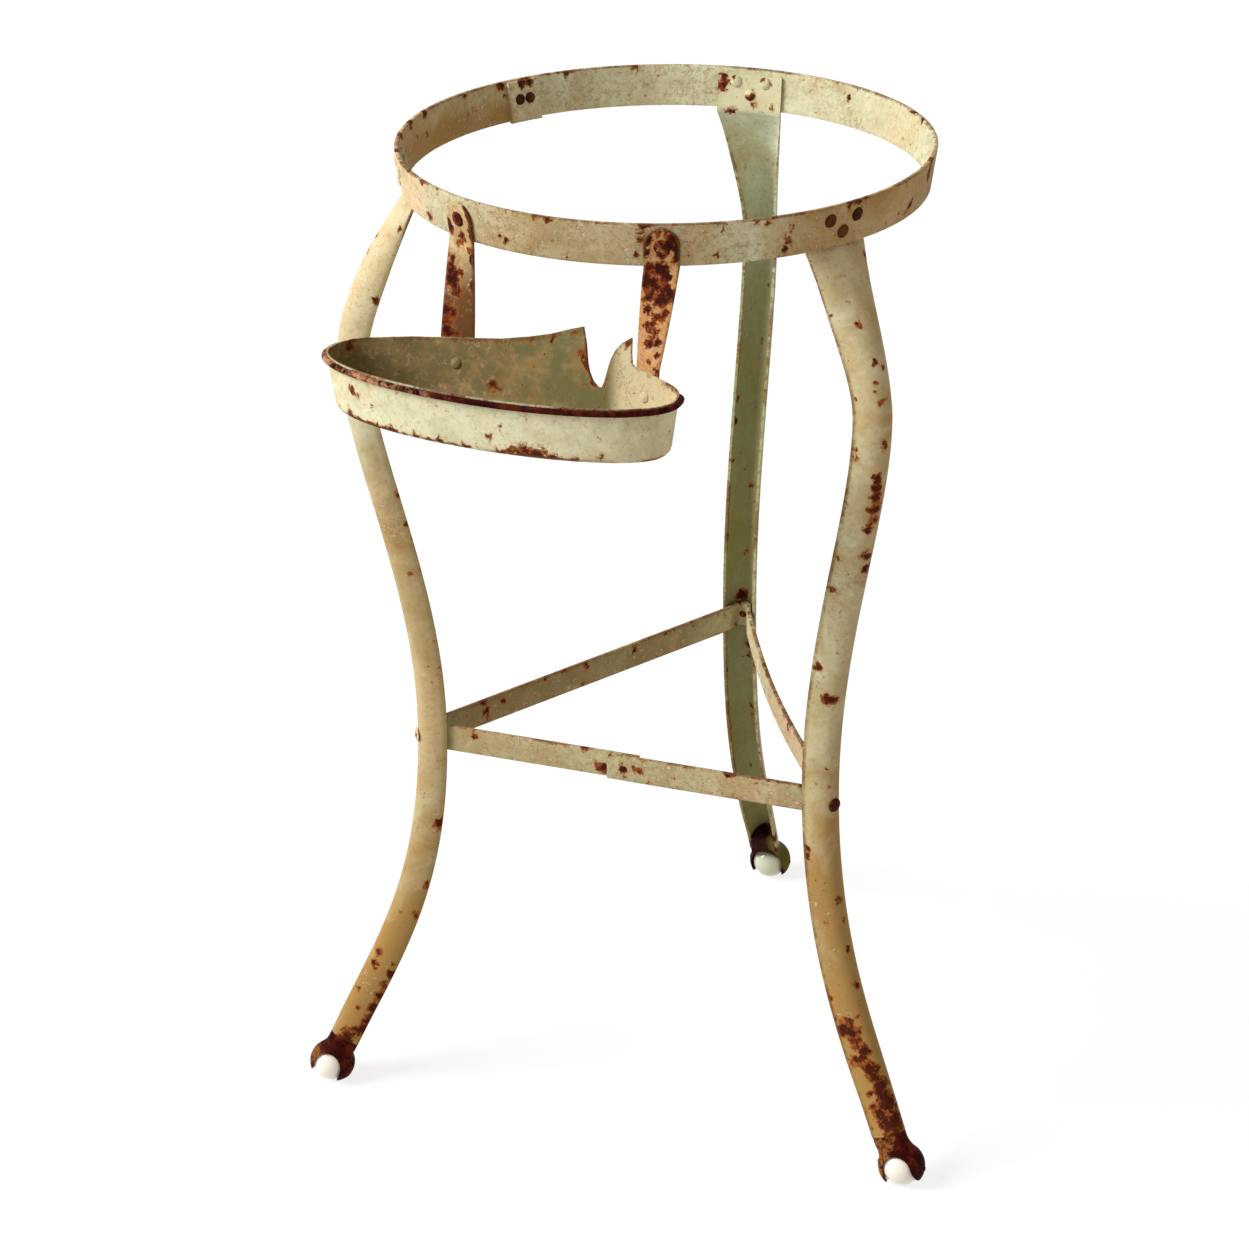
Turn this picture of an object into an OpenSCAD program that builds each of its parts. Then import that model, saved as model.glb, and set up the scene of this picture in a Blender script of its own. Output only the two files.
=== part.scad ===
// Iron wash basin stand: a riveted hoop on three pressed channel legs,
// braced by one bent band, with a hung soap dish and ball feet.
// Millimetres. +Z is up, the floor is z = 0 and the hoop's axis is the Z axis.
// Every turn is an angle round Z from the front (-Y), positive to the right.

/* [Hoop] */
// Outside diameter of the hoop at its top edge
hoop_d = 356; // [340:1:372]
// Height of the hoop's top edge above the floor
stand_h = 695; // [680:1:720]
// Height of the strip that the hoop is rolled from
strip_w = 28; // [26:0.5:32]
// Thickness of the hoop's strip
strip_t = 3; // [2:0.25:4]
// Lean of the strip in towards its bottom edge, degrees
strip_lean = 8; // [0:0.5:10]
// Length over which the strip's two ends lap
lap_len = 26; // [22:1:40]
// Turn of the middle of the lap
lap_turn = -126; // [-140:1:-100]
// How far the inner end of the lap sits below the outer one
lap_step = 0.8; // [0.4:0.1:1.5]

/* [Legs] */
// Turn of the left leg's tab on the hoop
left_tab_turn = -62.5; // [-64:0.5:-56]
// Turn of the left leg's middle
left_turn = -60; // [-63:0.5:-57]
// Turn of the left foot
left_foot_turn = -59.5; // [-63:0.5:-57]
// Turn of the right leg's tab on the hoop
right_tab_turn = 57.5; // [56:0.5:64]
// Turn of the right leg's middle
right_turn = 57.25; // [56:0.25:63]
// Turn of the right foot
right_foot_turn = 60; // [57:0.5:63]
// Turn of the rear leg's tab on the hoop
rear_tab_turn = 178.6; // [176:0.1:184]
// Turn of the rear leg's middle
rear_turn = 179.5; // [177:0.1:183]
// Turn of the rear foot
rear_foot_turn = 180.4; // [177:0.1:183]
// Thickness of the leg's sheet
leg_t = 2; // [1.5:0.1:2.3]
// Width of the channel
leg_w = 25; // [24:0.5:27]
// Depth of the channel
leg_depth = 19; // [17.5:0.5:20]
// Width of the tab riveted inside the hoop
tab_w = 47; // [42:1:56]
// How far the tab stops below the hoop's top edge
tab_drop = 4.5; // [3.5:0.5:5]
// Height over which the tab narrows to the channel
flare_h = 90; // [70:5:100]
// Reach of the knee from the axis
knee_reach = 222; // [212:1:232]
// Height of the knee
knee_h = 561; // [545:1:575]
// Reach of the waist from the axis
waist_reach = 179; // [172:1:186]
// Height of the waist
waist_h = 288; // [270:1:310]
// Width of the channel at its foot end
ankle_w = 23; // [22:0.5:25]
// Splay of the ankle from upright, degrees
ankle_splay = 25.5; // [20:0.5:30]

/* [Feet] */
// Distance of the left ball's centre from the axis
left_reach = 252; // [242:1:262]
// Distance of the right ball's centre from the axis
right_reach = 244; // [240:1:262]
// Distance of the rear ball's centre from the axis
rear_reach = 259; // [242:1:262]
// Diameter of the porcelain balls
ball_d = 28; // [26:0.5:29]
// Gap between a ball and its cup
ball_gap = 0.4; // [0.3:0.1:0.8]
// Wall of the cup
cup_t = 2; // [1.5:0.1:2.5]
// Width of the arch cut through the cup
arch_w = 21; // [19:0.5:22]
// Height of the arch above the ball's centre
arch_rise = 12.5; // [11:0.5:13.5]
// Height at which the cup's cheeks end above the floor
cheek_clear = 5; // [4:0.5:7]
// Diameter of the axle pins
axle_d = 4; // [3:0.25:5]
// Radial running clearance of a ball on its pin
axle_gap = 0.08; // [0.05:0.01:0.1]
// Length of the tongue that fits up inside the leg
tongue_len = 15; // [10:1:18]

/* [Stretcher band] */
// Height of the band's strip
band_w = 19; // [16:0.5:22]
// Thickness of the band's strip
band_t = 3; // [2:0.25:3.25]
// Height of the band's middle above the floor
band_h = 274; // [255:1:300]
// Half the flat inside each leg
band_flat = 4.5; // [4.25:0.25:4.75]
// Half the width across the band where it leaves a leg
band_mouth = 7.6; // [7:0.1:7.8]
// Inward bow of the side between the rear and right legs
band_bow = 7; // [0:1:10]
// Length over which the band's ends lap in the front side
band_lap = 22; // [15:1:40]

/* [Hangers and soap dish] */
// Turn of the soap dish and its hangers
rack_turn = -5; // [-8:1:-2]
// Angle of each hanger to either side of the rack's turn
hanger_spread = 23; // [21:0.5:25]
// Width of the hangers
hanger_w = 22.5; // [18:0.5:24]
// Width of the right hanger at the dish, where it is narrower
right_hanger_foot = 18; // [15:0.5:24]
// Thickness of the hangers
hanger_t = 2; // [1.5:0.25:2.5]
// Length of a hanger below the dish's rim
hanger_lap = 30; // [26:1:33]
// Length of the dish over its rim
dish_len = 238; // [226:1:246]
// Depth of the dish from back to front
dish_wide = 86; // [80:1:96]
// Height of the dish from its foot to its rim
dish_h = 38; // [35:1:42]
// Thickness of the dish's sheet
dish_t = 1.2; // [0.8:0.1:1.6]
// Slope of the dish's walls from upright, degrees
dish_taper = 8; // [4:0.5:10]
// Height of the dish's rim above the floor
dish_rim_h = 602; // [594:1:610]
// Distance of the dish's middle out from the hoop's top edge
dish_standoff = 33; // [32:0.5:36]
// Sideways shift of the dish along the hoop
dish_shift = -20; // [-26:1:-14]
// Diameter of the wire round the dish's rim
wire_d = 4; // [3:0.25:5]

/* [Rivets] */
// Diameter of the rivets that hold the legs, hangers and lap
rivet_d = 5; // [4:0.25:5.5]
// Diameter of the rivets that hold the band and the dish
small_rivet_d = 4; // [3:0.25:4.25]
// Height of a rivet's head
rivet_head = 1.8; // [1:0.1:2.5]
// Spacing of the upper pair of rivets in each leg's tab
tab_pitch = 22; // [18:0.5:26]
// Height of the upper rivets below the hoop's top edge
tab_row = 9.5; // [9:0.5:11]
// Drop from the upper pair to the lower rivet
tab_row_gap = 9; // [8:0.5:10.5]

/* [Hidden] */
$fn = 96;

// The legs stand a little out of true: each is [tab turn, middle turn, foot turn, reach]
left_leg = [left_tab_turn, left_turn, left_foot_turn, left_reach];
right_leg = [right_tab_turn, right_turn, right_foot_turn, right_reach];
rear_leg = [rear_tab_turn, rear_turn, rear_foot_turn, rear_reach];
legs = [left_leg, right_leg, rear_leg];
seat = 0.1;          // gap left between two sheets riveted together
hole_gap = 0.05;     // radial gap of a rivet in its hole
ball_z = ball_d/2;

// The hoop is a cone: its faces at a height z
hoop_bottom = stand_h - strip_w;
strip_run = strip_t/cos(strip_lean);
function hoop_out(z) = hoop_d/2 - (stand_h - z)*tan(strip_lean);
function hoop_in(z) = hoop_out(z) - strip_run;

// Colours
paint = [0.78, 0.77, 0.62];
worn_paint = [0.72, 0.64, 0.47];
rusty = [0.42, 0.22, 0.12];
porcelain = [0.93, 0.92, 0.88];

// ---------- curves ----------
function mix(a, b, t) = a + (b - a)*t;
function bezier(p, t) =
    pow(1-t, 3)*p[0] + 3*t*pow(1-t, 2)*p[1] + 3*t*t*(1-t)*p[2] + pow(t, 3)*p[3];
function bezier_run(p, t) =
    pow(1-t, 2)*(p[1]-p[0]) + 2*t*(1-t)*(p[2]-p[1]) + t*t*(p[3]-p[2]);
function unit(v) = v/norm(v);

// ---------- shape of a leg ----------
// Points are [reach, height] on the crown, the channel's outermost line.
crease_splay = 45;                   // splay where the leg leaves the hoop
crease_pull = 12;                    // how long that splay holds
knee_pull_up = 45;                   // how long the knee stays upright above
knee_pull_down = 68;                 // and below
waist_pull_up = 108;
waist_pull_down = 128;
ankle_pull = 80;
crown_offset = 10.5;                 // crown's distance from the ball's centre
cup_top = 24;                        // leg's end above the ball's centre
ankle_down = [sin(ankle_splay), -cos(ankle_splay)];
ankle_out = [cos(ankle_splay), sin(ankle_splay)];
function leg_end(reach) = [reach, ball_z] + crown_offset*ankle_out - cup_top*ankle_down;

tab_top = stand_h - tab_drop;
crease = [hoop_in(hoop_bottom - 1) - seat, hoop_bottom - 1];
upper = [crease, crease + crease_pull*[sin(crease_splay), -cos(crease_splay)],
         [knee_reach, knee_h + knee_pull_up], [knee_reach, knee_h]];
middle = [[knee_reach, knee_h], [knee_reach, knee_h - knee_pull_down],
          [waist_reach, waist_h + waist_pull_up], [waist_reach, waist_h]];
function lower(reach) = let (end = leg_end(reach))
    [[waist_reach, waist_h], [waist_reach, waist_h - waist_pull_down],
     end - ankle_pull*ankle_down, end];

// A station is [point, direction down the leg]
tab_down = [-sin(strip_lean), -cos(strip_lean)];
crease_down = unit(tab_down + unit(upper[1] - upper[0]));
function stations(reach) = concat(
    [for (z = [tab_top, tab_z - tab_row_gap/2]) [[hoop_in(z) - seat, z], tab_down]],
    [[crease, crease_down]],
    [for (i = [1:9]) [bezier(upper, i/9), unit(bezier_run(upper, i/9))]],
    [for (i = [1:8]) [bezier(middle, i/8), unit(bezier_run(middle, i/8))]],
    [for (i = [1:9]) [bezier(lower(reach), i/9), unit(bezier_run(lower(reach), i/9))]]);
function crown_at(reach, z) = lookup(z, [for (st = stations(reach)) [st[0][1], st[0][0]]]);
// Turn of a leg at a height: steady at the foot, from the waist to the knee and at the tab
function eased(t) = let (u = min(1, max(0, t))) u*u*(3 - 2*u);
function turn_at(leg, z) = z < waist_h
    ? mix(leg[2], leg[1], eased((z - 40)/(waist_h - 40)))
    : mix(leg[1], leg[0], eased((z - knee_h)/(hoop_bottom - knee_h)));

// Share of the flare that is done at a height: 0 at the tab, 1 in the channel
function flared(z) = min(1, max(0, (hoop_bottom - z)/flare_h));
function width_at(z) = mix(ankle_w, leg_w, eased((z - 40)/60))
    + (tab_w - leg_w)*pow(1 - flared(z), 1.5);
function curl_at(z) = 1 - pow(1 - flared(z), 3);

// Half-oval section, open inwards, that flattens on to the hoop's curve
section_steps = 11;
lip_bevel = 0.3;                     // the sheet's cut edges slope in by this
function section(w, curl, t) = concat(
    [for (i = [0:section_steps]) let (a = 180*i/section_steps, x = -w/2*cos(a))
        [x, mix(-x*x/hoop_d, -leg_depth*(1 - sin(a)), curl)]],
    [for (i = [section_steps:-1:0]) let (a = 180*i/section_steps, x = -w/2*cos(a))
        [mix(x, -(w/2 - t)*cos(a), curl),
         mix(-x*x/hoop_d - t, mix(-leg_depth + lip_bevel, -t, sin(a)), curl)]]);
function place_section(s, st, turn) = let (p = st[0], d = st[1], out = [-d[1], d[0]])
    [for (q = s) let (r = p[0] + q[1]*out[0])
        [q[0]*cos(turn) + r*sin(turn), q[0]*sin(turn) - r*cos(turn), p[1] + q[1]*out[1]]];

module loft(rings) {
    n = len(rings[0]);
    m = len(rings);
    polyhedron(
        points = [for (r = rings) each r],
        faces = concat(
            [[for (i = [0:n-1]) i]],
            [[for (i = [n-1:-1:0]) (m-1)*n + i]],
            [for (k = [0:m-2], i = [0:n-1]) let (j = (i+1)%n)
                each [[k*n+i, (k+1)*n+i, (k+1)*n+j], [k*n+i, (k+1)*n+j, k*n+j]]]));
}

module leg_blank(leg) {
    loft([for (st = stations(leg[3])) let (z = st[0][1])
        place_section(section(width_at(z), curl_at(z), leg_t), st, turn_at(leg, z))]);
}

// ---------- rivets ----------
// A rivet along +Z: its head stands on z = 0, its tail below z = -grip
module dome(d, h) {
    bulge = (d*d/4 + h*h)/(2*h);
    intersection() {
        translate([0, 0, h - bulge]) sphere(r = bulge);
        cylinder(d = d, h = h);
    }
}
module rivet(d, grip, head_d, tail_d, head_h = rivet_head, tail_h = rivet_head) {
    dome(head_d, head_h);
    translate([0, 0, -grip]) cylinder(d = d, h = grip + 0.5);
    translate([0, 0, -grip]) mirror([0, 0, 1]) dome(tail_d, tail_h);
}
module rivet_hole(d, grip) {
    translate([0, 0, -grip - 3]) cylinder(d = d + 2*hole_gap, h = grip + 6);
}

// Puts children on the hoop's outer face, with +Z square out of the strip
module on_hoop(turn, z) {
    rotate([0, 0, turn]) translate([0, -hoop_out(z), z]) rotate([90 + strip_lean, 0, 0])
        children();
}
tab_z = stand_h - tab_row;
tab_side = asin(tab_pitch/2/hoop_out(tab_z));
tab_spots = [[-tab_side, tab_z], [tab_side, tab_z], [0, tab_z - tab_row_gap]];
module on_tab_spots(leg) {
    for (s = tab_spots) on_hoop(leg[0] + s[0], s[1]) children();
}
// The sheets under a head: the strip, the leg's tab and a seat on each side
tab_grip = strip_t + leg_t + 3*seat;

lap_side = asin(4.2/hoop_out(tab_z));
lap_grip = 2*strip_t + seat;
module on_lap_spots() {
    for (s = [-1, 1]) on_hoop(lap_turn + s*lap_side, hoop_bottom + strip_w/2) children();
}

// ---------- hoop ----------
module hoop_strip(inset, sweep, drop) {
    rotate_extrude(angle = sweep) translate([-inset, -drop]) polygon([
        [hoop_out(stand_h), stand_h], [hoop_in(stand_h), stand_h],
        [hoop_in(hoop_bottom), hoop_bottom], [hoop_out(hoop_bottom), hoop_bottom]]);
}
module hoop() {
    lap_sweep = lap_len/(hoop_d/2)*180/PI;
    fuse = 0.05;
    color(paint) difference() {
        union() {
            hoop_strip(0, 360, 0);
            rotate([0, 0, lap_turn - 90 - lap_sweep/2])
                hoop_strip(strip_run - fuse, lap_sweep, lap_step);
        }
        for (leg = legs) on_tab_spots(leg) rivet_hole(rivet_d, strip_t + 1);
        on_lap_spots() rivet_hole(rivet_d, lap_grip);
        for (s = [-1, 1]) on_hanger_spot(s) rivet_hole(rivet_d, strip_t + 2);
    }
}
module hoop_lap_rivets() {
    color(rusty) on_lap_spots() translate([0, 0, seat]) rivet(rivet_d, lap_grip, 8, 7.5);
}

// ---------- legs ----------
module leg(leg) {
    color(paint) difference() {
        leg_blank(leg);
        on_tab_spots(leg) rivet_hole(rivet_d, tab_grip);
        at_band(leg, crown_at(leg[3], band_h)) rivet_hole(small_rivet_d, leg_t + 2);
    }
}
module leg_rivets(leg) {
    color(rusty) on_tab_spots(leg) translate([0, 0, seat])
        rivet(rivet_d, tab_grip + seat, 9, 8, 1.4);
}

// ---------- stretcher band ----------
// Seated by its corner flats in the hollow of each channel
function hollow_at(x) = (leg_depth - leg_t)*sqrt(1 - pow(x/(leg_w/2 - leg_t), 2));
function band_out(leg) =
    crown_at(leg[3], band_h) - leg_depth + hollow_at(band_flat + band_t/2) - 2*seat;
// Puts children on the line of a band rivet, with +Z outwards
module at_band(leg, reach) {
    rotate([0, 0, turn_at(leg, band_h)]) translate([0, -reach, band_h]) rotate([90, 0, 0])
        children();
}
function at_leg(turn, side, reach) =
    [reach*sin(turn) + side*cos(turn), -reach*cos(turn) + side*sin(turn)];
function corner(leg) = let (turn = turn_at(leg, band_h), flat = band_out(leg) - band_t/2,
        mouth = crown_at(leg[3], band_h) - leg_depth)
    [at_leg(turn, -band_mouth, mouth), at_leg(turn, -band_flat, flat),
     at_leg(turn, band_flat, flat), at_leg(turn, band_mouth, mouth)];
// Points bowed to the left of the line from a to b
function bowed(a, b, bow, steps) = let (side = unit([a[1]-b[1], b[0]-a[0]]))
    [for (i = [1:steps-1]) mix(a, b, i/steps) + side*bow*sin(180*i/steps)];
// One end lies outside the other in the middle of the front side
left_corner = corner(left_leg);
right_corner = corner(right_leg);
rear_corner = corner(rear_leg);
front_mid = (left_corner[3] + right_corner[0])/2;
front_run = unit(right_corner[0] - left_corner[3]);
front_out = [front_run[1], -front_run[0]];
lap_side_step = band_t/2 - 0.02;     // the lapped ends are welded to each other
lap_outer = front_mid - front_run*band_lap/2 + front_out*lap_side_step;
lap_inner = front_mid + front_run*band_lap/2 - front_out*lap_side_step;
long_path = concat([lap_outer, lap_outer + front_run*band_lap], right_corner,
    bowed(right_corner[3], rear_corner[0], band_bow, 10), rear_corner, left_corner);
short_path = [left_corner[2], left_corner[3], lap_inner - front_run*band_lap, lap_inner];
function side_at(path, i) = let (n = len(path),
        a = i > 0 ? unit(path[i] - path[i-1]) : unit(path[1] - path[0]),
        b = i < n-1 ? unit(path[i+1] - path[i]) : a,
        m = unit(a + b))
    [-m[1], m[0]]/(m*b);
module strip_along(path, t) {
    n = len(path);
    polygon(concat(
        [for (i = [0:n-1]) path[i] + side_at(path, i)*t/2],
        [for (i = [n-1:-1:0]) path[i] - side_at(path, i)*t/2]));
}
module stretcher_band() {
    color(worn_paint) difference() {
        translate([0, 0, band_h - band_w/2]) linear_extrude(height = band_w) {
            strip_along(long_path, band_t);
            strip_along(short_path, band_t);
        }
        for (leg = legs) at_band(leg, band_out(leg)) rivet_hole(small_rivet_d, band_t);
    }
}
module band_rivets() {
    color(rusty) for (leg = legs) let (out = crown_at(leg[3], band_h) + seat)
        at_band(leg, out) rivet(small_rivet_d, out - band_out(leg) + band_t + seat,
                                10, 5.6, 2, 1.4);
}

// ---------- ball feet ----------
cup_in = ball_d/2 + ball_gap;
cup_out = cup_in + cup_t;
bell_from = 36;                      // rise at which the cup's bell leaves its sphere
bell_slope = 25;                     // taper of the bell above that
function ball_spot(leg) = [leg[3]*sin(leg[2]), -leg[3]*cos(leg[2]), ball_z];
// Section of the tongue: the channel's hollow less a gap all round
tongue_gap = 0.4;
module tongue_outline() {
    a = ankle_w/2 - leg_t - tongue_gap;
    b = leg_depth - leg_t - tongue_gap;
    polygon([for (i = [0:24]) let (q = 180*i/24) [a*cos(q), -b*sin(q)]]);
}
module cup_neck() {
    low = cup_out*sin(bell_from);
    wide = cup_out*cos(bell_from);
    neck = ankle_w/2;
    bell_h = (wide - neck)/tan(bell_slope);
    sunk = 3;
    translate([0, 0, low - sunk])
        cylinder(r1 = wide + sunk*tan(bell_slope), r2 = neck, h = bell_h + sunk);
    translate([0, 0, low + bell_h - 1])
        cylinder(r = neck - 0.05, h = cup_top - seat - low - bell_h + 1);
    translate([0, leg_depth - crown_offset, cup_top - seat - 0.05])
        linear_extrude(height = tongue_len) tongue_outline();
}
// The arch runs front to back, and leans sideways as the leg does
module arch(turn) {
    lean = -atan(sin(turn)*tan(ankle_splay));
    low = arch_rise - arch_w/2;
    rotate([0, lean, 0]) rotate([90, 0, 0]) linear_extrude(height = 3*cup_out, center = true)
        polygon(concat([[-arch_w/2, -2*cup_out], [arch_w/2, -2*cup_out]],
            [for (i = [0:16]) let (q = 180*i/16) [arch_w/2*cos(q), low + arch_w/2*sin(q)]]));
}
module ball_cup(leg) {
    color(rusty) translate(ball_spot(leg)) difference() {
        rotate([0, 0, leg[2]]) {
            sphere(r = cup_out);
            rotate([-ankle_splay, 0, 0]) cup_neck();
        }
        sphere(r = cup_in);
        arch(leg[2]);
        rotate([0, 90, 0]) cylinder(d = axle_d + 2*hole_gap, h = 4*cup_out, center = true);
        translate([0, 0, cheek_clear - ball_z - cup_out]) cube(2*cup_out, center = true);
    }
}
module axle_pin(leg) {
    color(rusty) translate(ball_spot(leg))
        rotate([0, 90, 0]) cylinder(d = axle_d, h = 2*cup_out + 1, center = true);
}
module ball(leg) {
    color(porcelain) translate(ball_spot(leg)) rotate([0, 90, 0]) difference() {
        sphere(d = ball_d);
        cylinder(d = axle_d + 2*axle_gap, h = 2*ball_d, center = true);
    }
}

// ---------- soap dish ----------
// The dish is drawn with its long side along X, its back towards +Y.
// Its plan is an oval with a fuller back; its top edge follows back_edge.
front_power = 2;
back_power = 2.4;
// Rise of the back's edge over the rim at stations along X: a raised back,
// the notch beside it and the pointed ear that curls up from the notch
back_edge = [[-118, 0], [-90, 1], [-60, 3], [-40, 5], [-20, 9], [-5, 13], [8, 18],
             [17, 21], [20, 10], [22, -1], [24, -7], [27, -12], [31, -15], [34, -15],
             [35.5, -11], [37, -3], [38.5, 4], [41, 10], [45, 15.5], [49, 18.5],
             [51.5, 20.5], [52.5, 11], [54, 4.5], [58, 1.5], [66, 1], [82, 0]];
half_len = dish_len/2;
half_wide = dish_wide/2;
dish_reach = hoop_d/2 + dish_standoff;
function oval(u, p, a, b) = [a*u, b*pow(max(0, 1 - pow(abs(u), p)), 1/p)];
// Shares of the half length at which the wall has a corner, front then back
dish_us = concat(
    [for (i = [0:24]) [-cos(180*i/24), -1]],
    [for (i = [1:5]) [cos(6*i), 1]],
    [for (i = [len(back_edge)-1:-1:0]) [(back_edge[i][0] - dish_shift)/half_len, 1]],
    [for (i = [5:-1:1]) [-cos(6*i), 1]]);
function rise_at(u, side) = side < 0 ? 0 : lookup(u*half_len + dish_shift, back_edge);
function dish_point(us, inset, z) = let (
        p = us[1] < 0 ? front_power : back_power,
        q = oval(us[0], p, half_len - inset, half_wide - inset))
    [q[0], us[1]*q[1], z];
foot_round = 5;
function slope_in(z) = (dish_h - z)*tan(dish_taper);
function dish_ring(inset, z) = [for (us = dish_us) dish_point(us, inset + slope_in(z), z)];
function dish_lip(inset) = [for (us = dish_us) let (z = dish_h + rise_at(us[0], us[1]))
    dish_point(us, inset + slope_in(z), z)];
module dish_blank() {
    t = dish_t;
    loft([dish_ring(foot_round, 0), dish_ring(foot_round*0.3, foot_round*0.3),
          dish_ring(0, foot_round), dish_lip(0), dish_lip(t),
          dish_ring(t, foot_round), dish_ring(t + foot_round*0.3, t + foot_round*0.3),
          dish_ring(foot_round + t, t)]);
}
module at_dish() {
    rotate([0, 0, rack_turn]) translate([dish_shift, -dish_reach, dish_rim_h - dish_h])
        children();
}
// Where a hanger meets the dish's back, in the dish's own X, and which way it faces
hanger_x = [-hoop_d/2*sin(hanger_spread), hoop_d/2*sin(hanger_spread) - 4.5];
hanger_rivet_drop = 14;
function back_face(x, z, inset) = let (
        u = (x - dish_shift)/(half_len - inset - slope_in(z)))
    oval(u, back_power, half_len - inset - slope_in(z), half_wide - inset - slope_in(z))[1];
// Facing of the back wall at x, degrees from +Y towards +X
function back_facing(x) = let (e = 0.5)
    atan2(back_face(x - e, dish_h, 0) - back_face(x + e, dish_h, 0), 2*e);
// Puts children on the back's outer face at a hanger, with +Z out of the wall
module on_back(side) {
    x = hanger_x[side < 0 ? 0 : 1];
    z = dish_h - hanger_rivet_drop;
    rotate([0, 0, rack_turn]) translate([x, back_face(x, z, 0) - dish_reach, z + dish_rim_h - dish_h])
        rotate([0, 0, -back_facing(x)]) rotate([-90 - dish_taper, 0, 0]) children();
}
// The tails stand a little off the dish's hollow side, which is curved
tail_lift = 0.35;
module soap_dish() {
    color(paint) difference() {
        at_dish() dish_blank();
        for (s = [-1, 1]) on_back(s) rivet_hole(small_rivet_d, dish_t + 2);
    }
}
// The wire lies against the wall just under the rim, round the front and ends
wire_sides = 8;
wire_steps = 44;
wire_from = -25;
wire_to = 205;
module dish_rim_wire() {
    r = wire_d/2;
    drop = 0.5;
    rings = [for (i = [0:wire_steps]) let (
            a = mix(wire_from, wire_to, i/wire_steps) + 180,
            c = cos(a), s = sin(a), p = s < 0 ? front_power : back_power,
            k = pow(pow(abs(c), p) + pow(abs(s), p), -1/p),
            out = unit([c*half_wide, s*half_len]),
            base = [k*c*half_len, k*s*half_wide] - out*slope_in(dish_h - drop - r),
            mid = base + out*(r + seat))
        [for (j = [0:wire_sides-1]) let (q = 360*(j + 0.5)/wire_sides)
            [mid[0] + out[0]*r*cos(q), mid[1] + out[1]*r*cos(q), dish_h - drop - r + r*sin(q)]]];
    color(rusty) at_dish() loft(rings);
}
module dish_rivets() {
    color(rusty) for (s = [-1, 1]) on_back(s) translate([0, 0, hanger_t + 2*seat])
        rivet(small_rivet_d, dish_t + hanger_t + 2*seat + tail_lift, 8, 7, 1.4, 1);
}

// ---------- hangers ----------
// Flat straps, round at the top, riveted outside the hoop, that run down to
// the back of the dish and turn to lie flat on it
hanger_spot_z = hoop_bottom + strip_w/2;
module on_hanger_spot(side) {
    on_hoop(rack_turn + side*hanger_spread, hanger_spot_z) children();
}
// A slice is [middle on the strap's back, facing, tilt, half width]
function hoop_slice(side, z, half) = let (turn = side*hanger_spread, r = hoop_out(z) + seat)
    [[r*sin(turn), -r*cos(turn), z], turn, -strip_lean, half];
function back_slice(side, z, half) = let (
        x = hanger_x[side < 0 ? 0 : 1], f = -back_facing(x),
        y = back_face(x, z - dish_rim_h + dish_h, 0) - dish_reach + (hanger_t + seat))
    [[x - (hanger_t + seat)*sin(f), y - (hanger_t + seat)*(1 - cos(f)), z], f, dish_taper, half];
function between(a, b, t) = [for (i = [0:3]) mix(a[i], b[i], t)];
function slice_ring(s) = let (f = s[1], w = [cos(f), sin(f), 0], out = [sin(f), -cos(f), 0],
        h = s[3], p = s[0])
    [p - w*h, p + w*h, p + w*h + out*hanger_t, p - w*h + out*hanger_t];
module hanger(side) {
    r = hanger_w/2;
    foot = side < 0 ? r : right_hanger_foot/2;
    hoop_end = hoop_slice(side, hoop_bottom, r);
    back_start = back_slice(side, dish_rim_h + 4, foot);
    slices = concat(
        [for (i = [0:7]) let (a = 85 - 85*i/7)
            hoop_slice(side, hanger_spot_z + r*sin(a), r*cos(a))],
        [hoop_end],
        [for (i = [1:7]) between(hoop_end, back_start, eased(i/8))],
        [back_start, back_slice(side, dish_rim_h - hanger_lap, foot)]);
    color(worn_paint) difference() {
        rotate([0, 0, rack_turn]) loft([for (s = slices) slice_ring(s)]);
        on_hanger_spot(side) rivet_hole(rivet_d, 2);
        on_back(side) rivet_hole(small_rivet_d, 3);
    }
}
module hanger_rivets() {
    color(rusty) for (s = [-1, 1]) on_hanger_spot(s) translate([0, 0, hanger_t + 2*seat])
        rivet(rivet_d, strip_t + hanger_t + 3*seat, 10, 8, 1.6, 1.4);
}

hoop();
hoop_lap_rivets();
leg(left_leg);  // leg_left
leg(right_leg);  // leg_right
leg(rear_leg);  // leg_rear
leg_rivets(left_leg);  // leg_left_rivets
leg_rivets(right_leg);  // leg_right_rivets
leg_rivets(rear_leg);  // leg_rear_rivets
stretcher_band();
band_rivets();
ball_cup(left_leg);  // ball_cup_left
ball_cup(right_leg);  // ball_cup_right
ball_cup(rear_leg);  // ball_cup_rear
axle_pin(left_leg);  // axle_pin_left
axle_pin(right_leg);  // axle_pin_right
axle_pin(rear_leg);  // axle_pin_rear
ball(left_leg);  // ball_left
ball(right_leg);  // ball_right
ball(rear_leg);  // ball_rear
hanger(-1);  // hanger_left
hanger(1);  // hanger_right
hanger_rivets();
soap_dish();
dish_rim_wire();
dish_rivets();
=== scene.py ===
"""Iron wash basin stand: painted hoop on three channel legs, brace band, soap dish, ball feet."""

import math
import random
from collections import namedtuple

import bmesh
import bpy
import numpy as np
from mathutils import Matrix, Vector, noise


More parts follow.
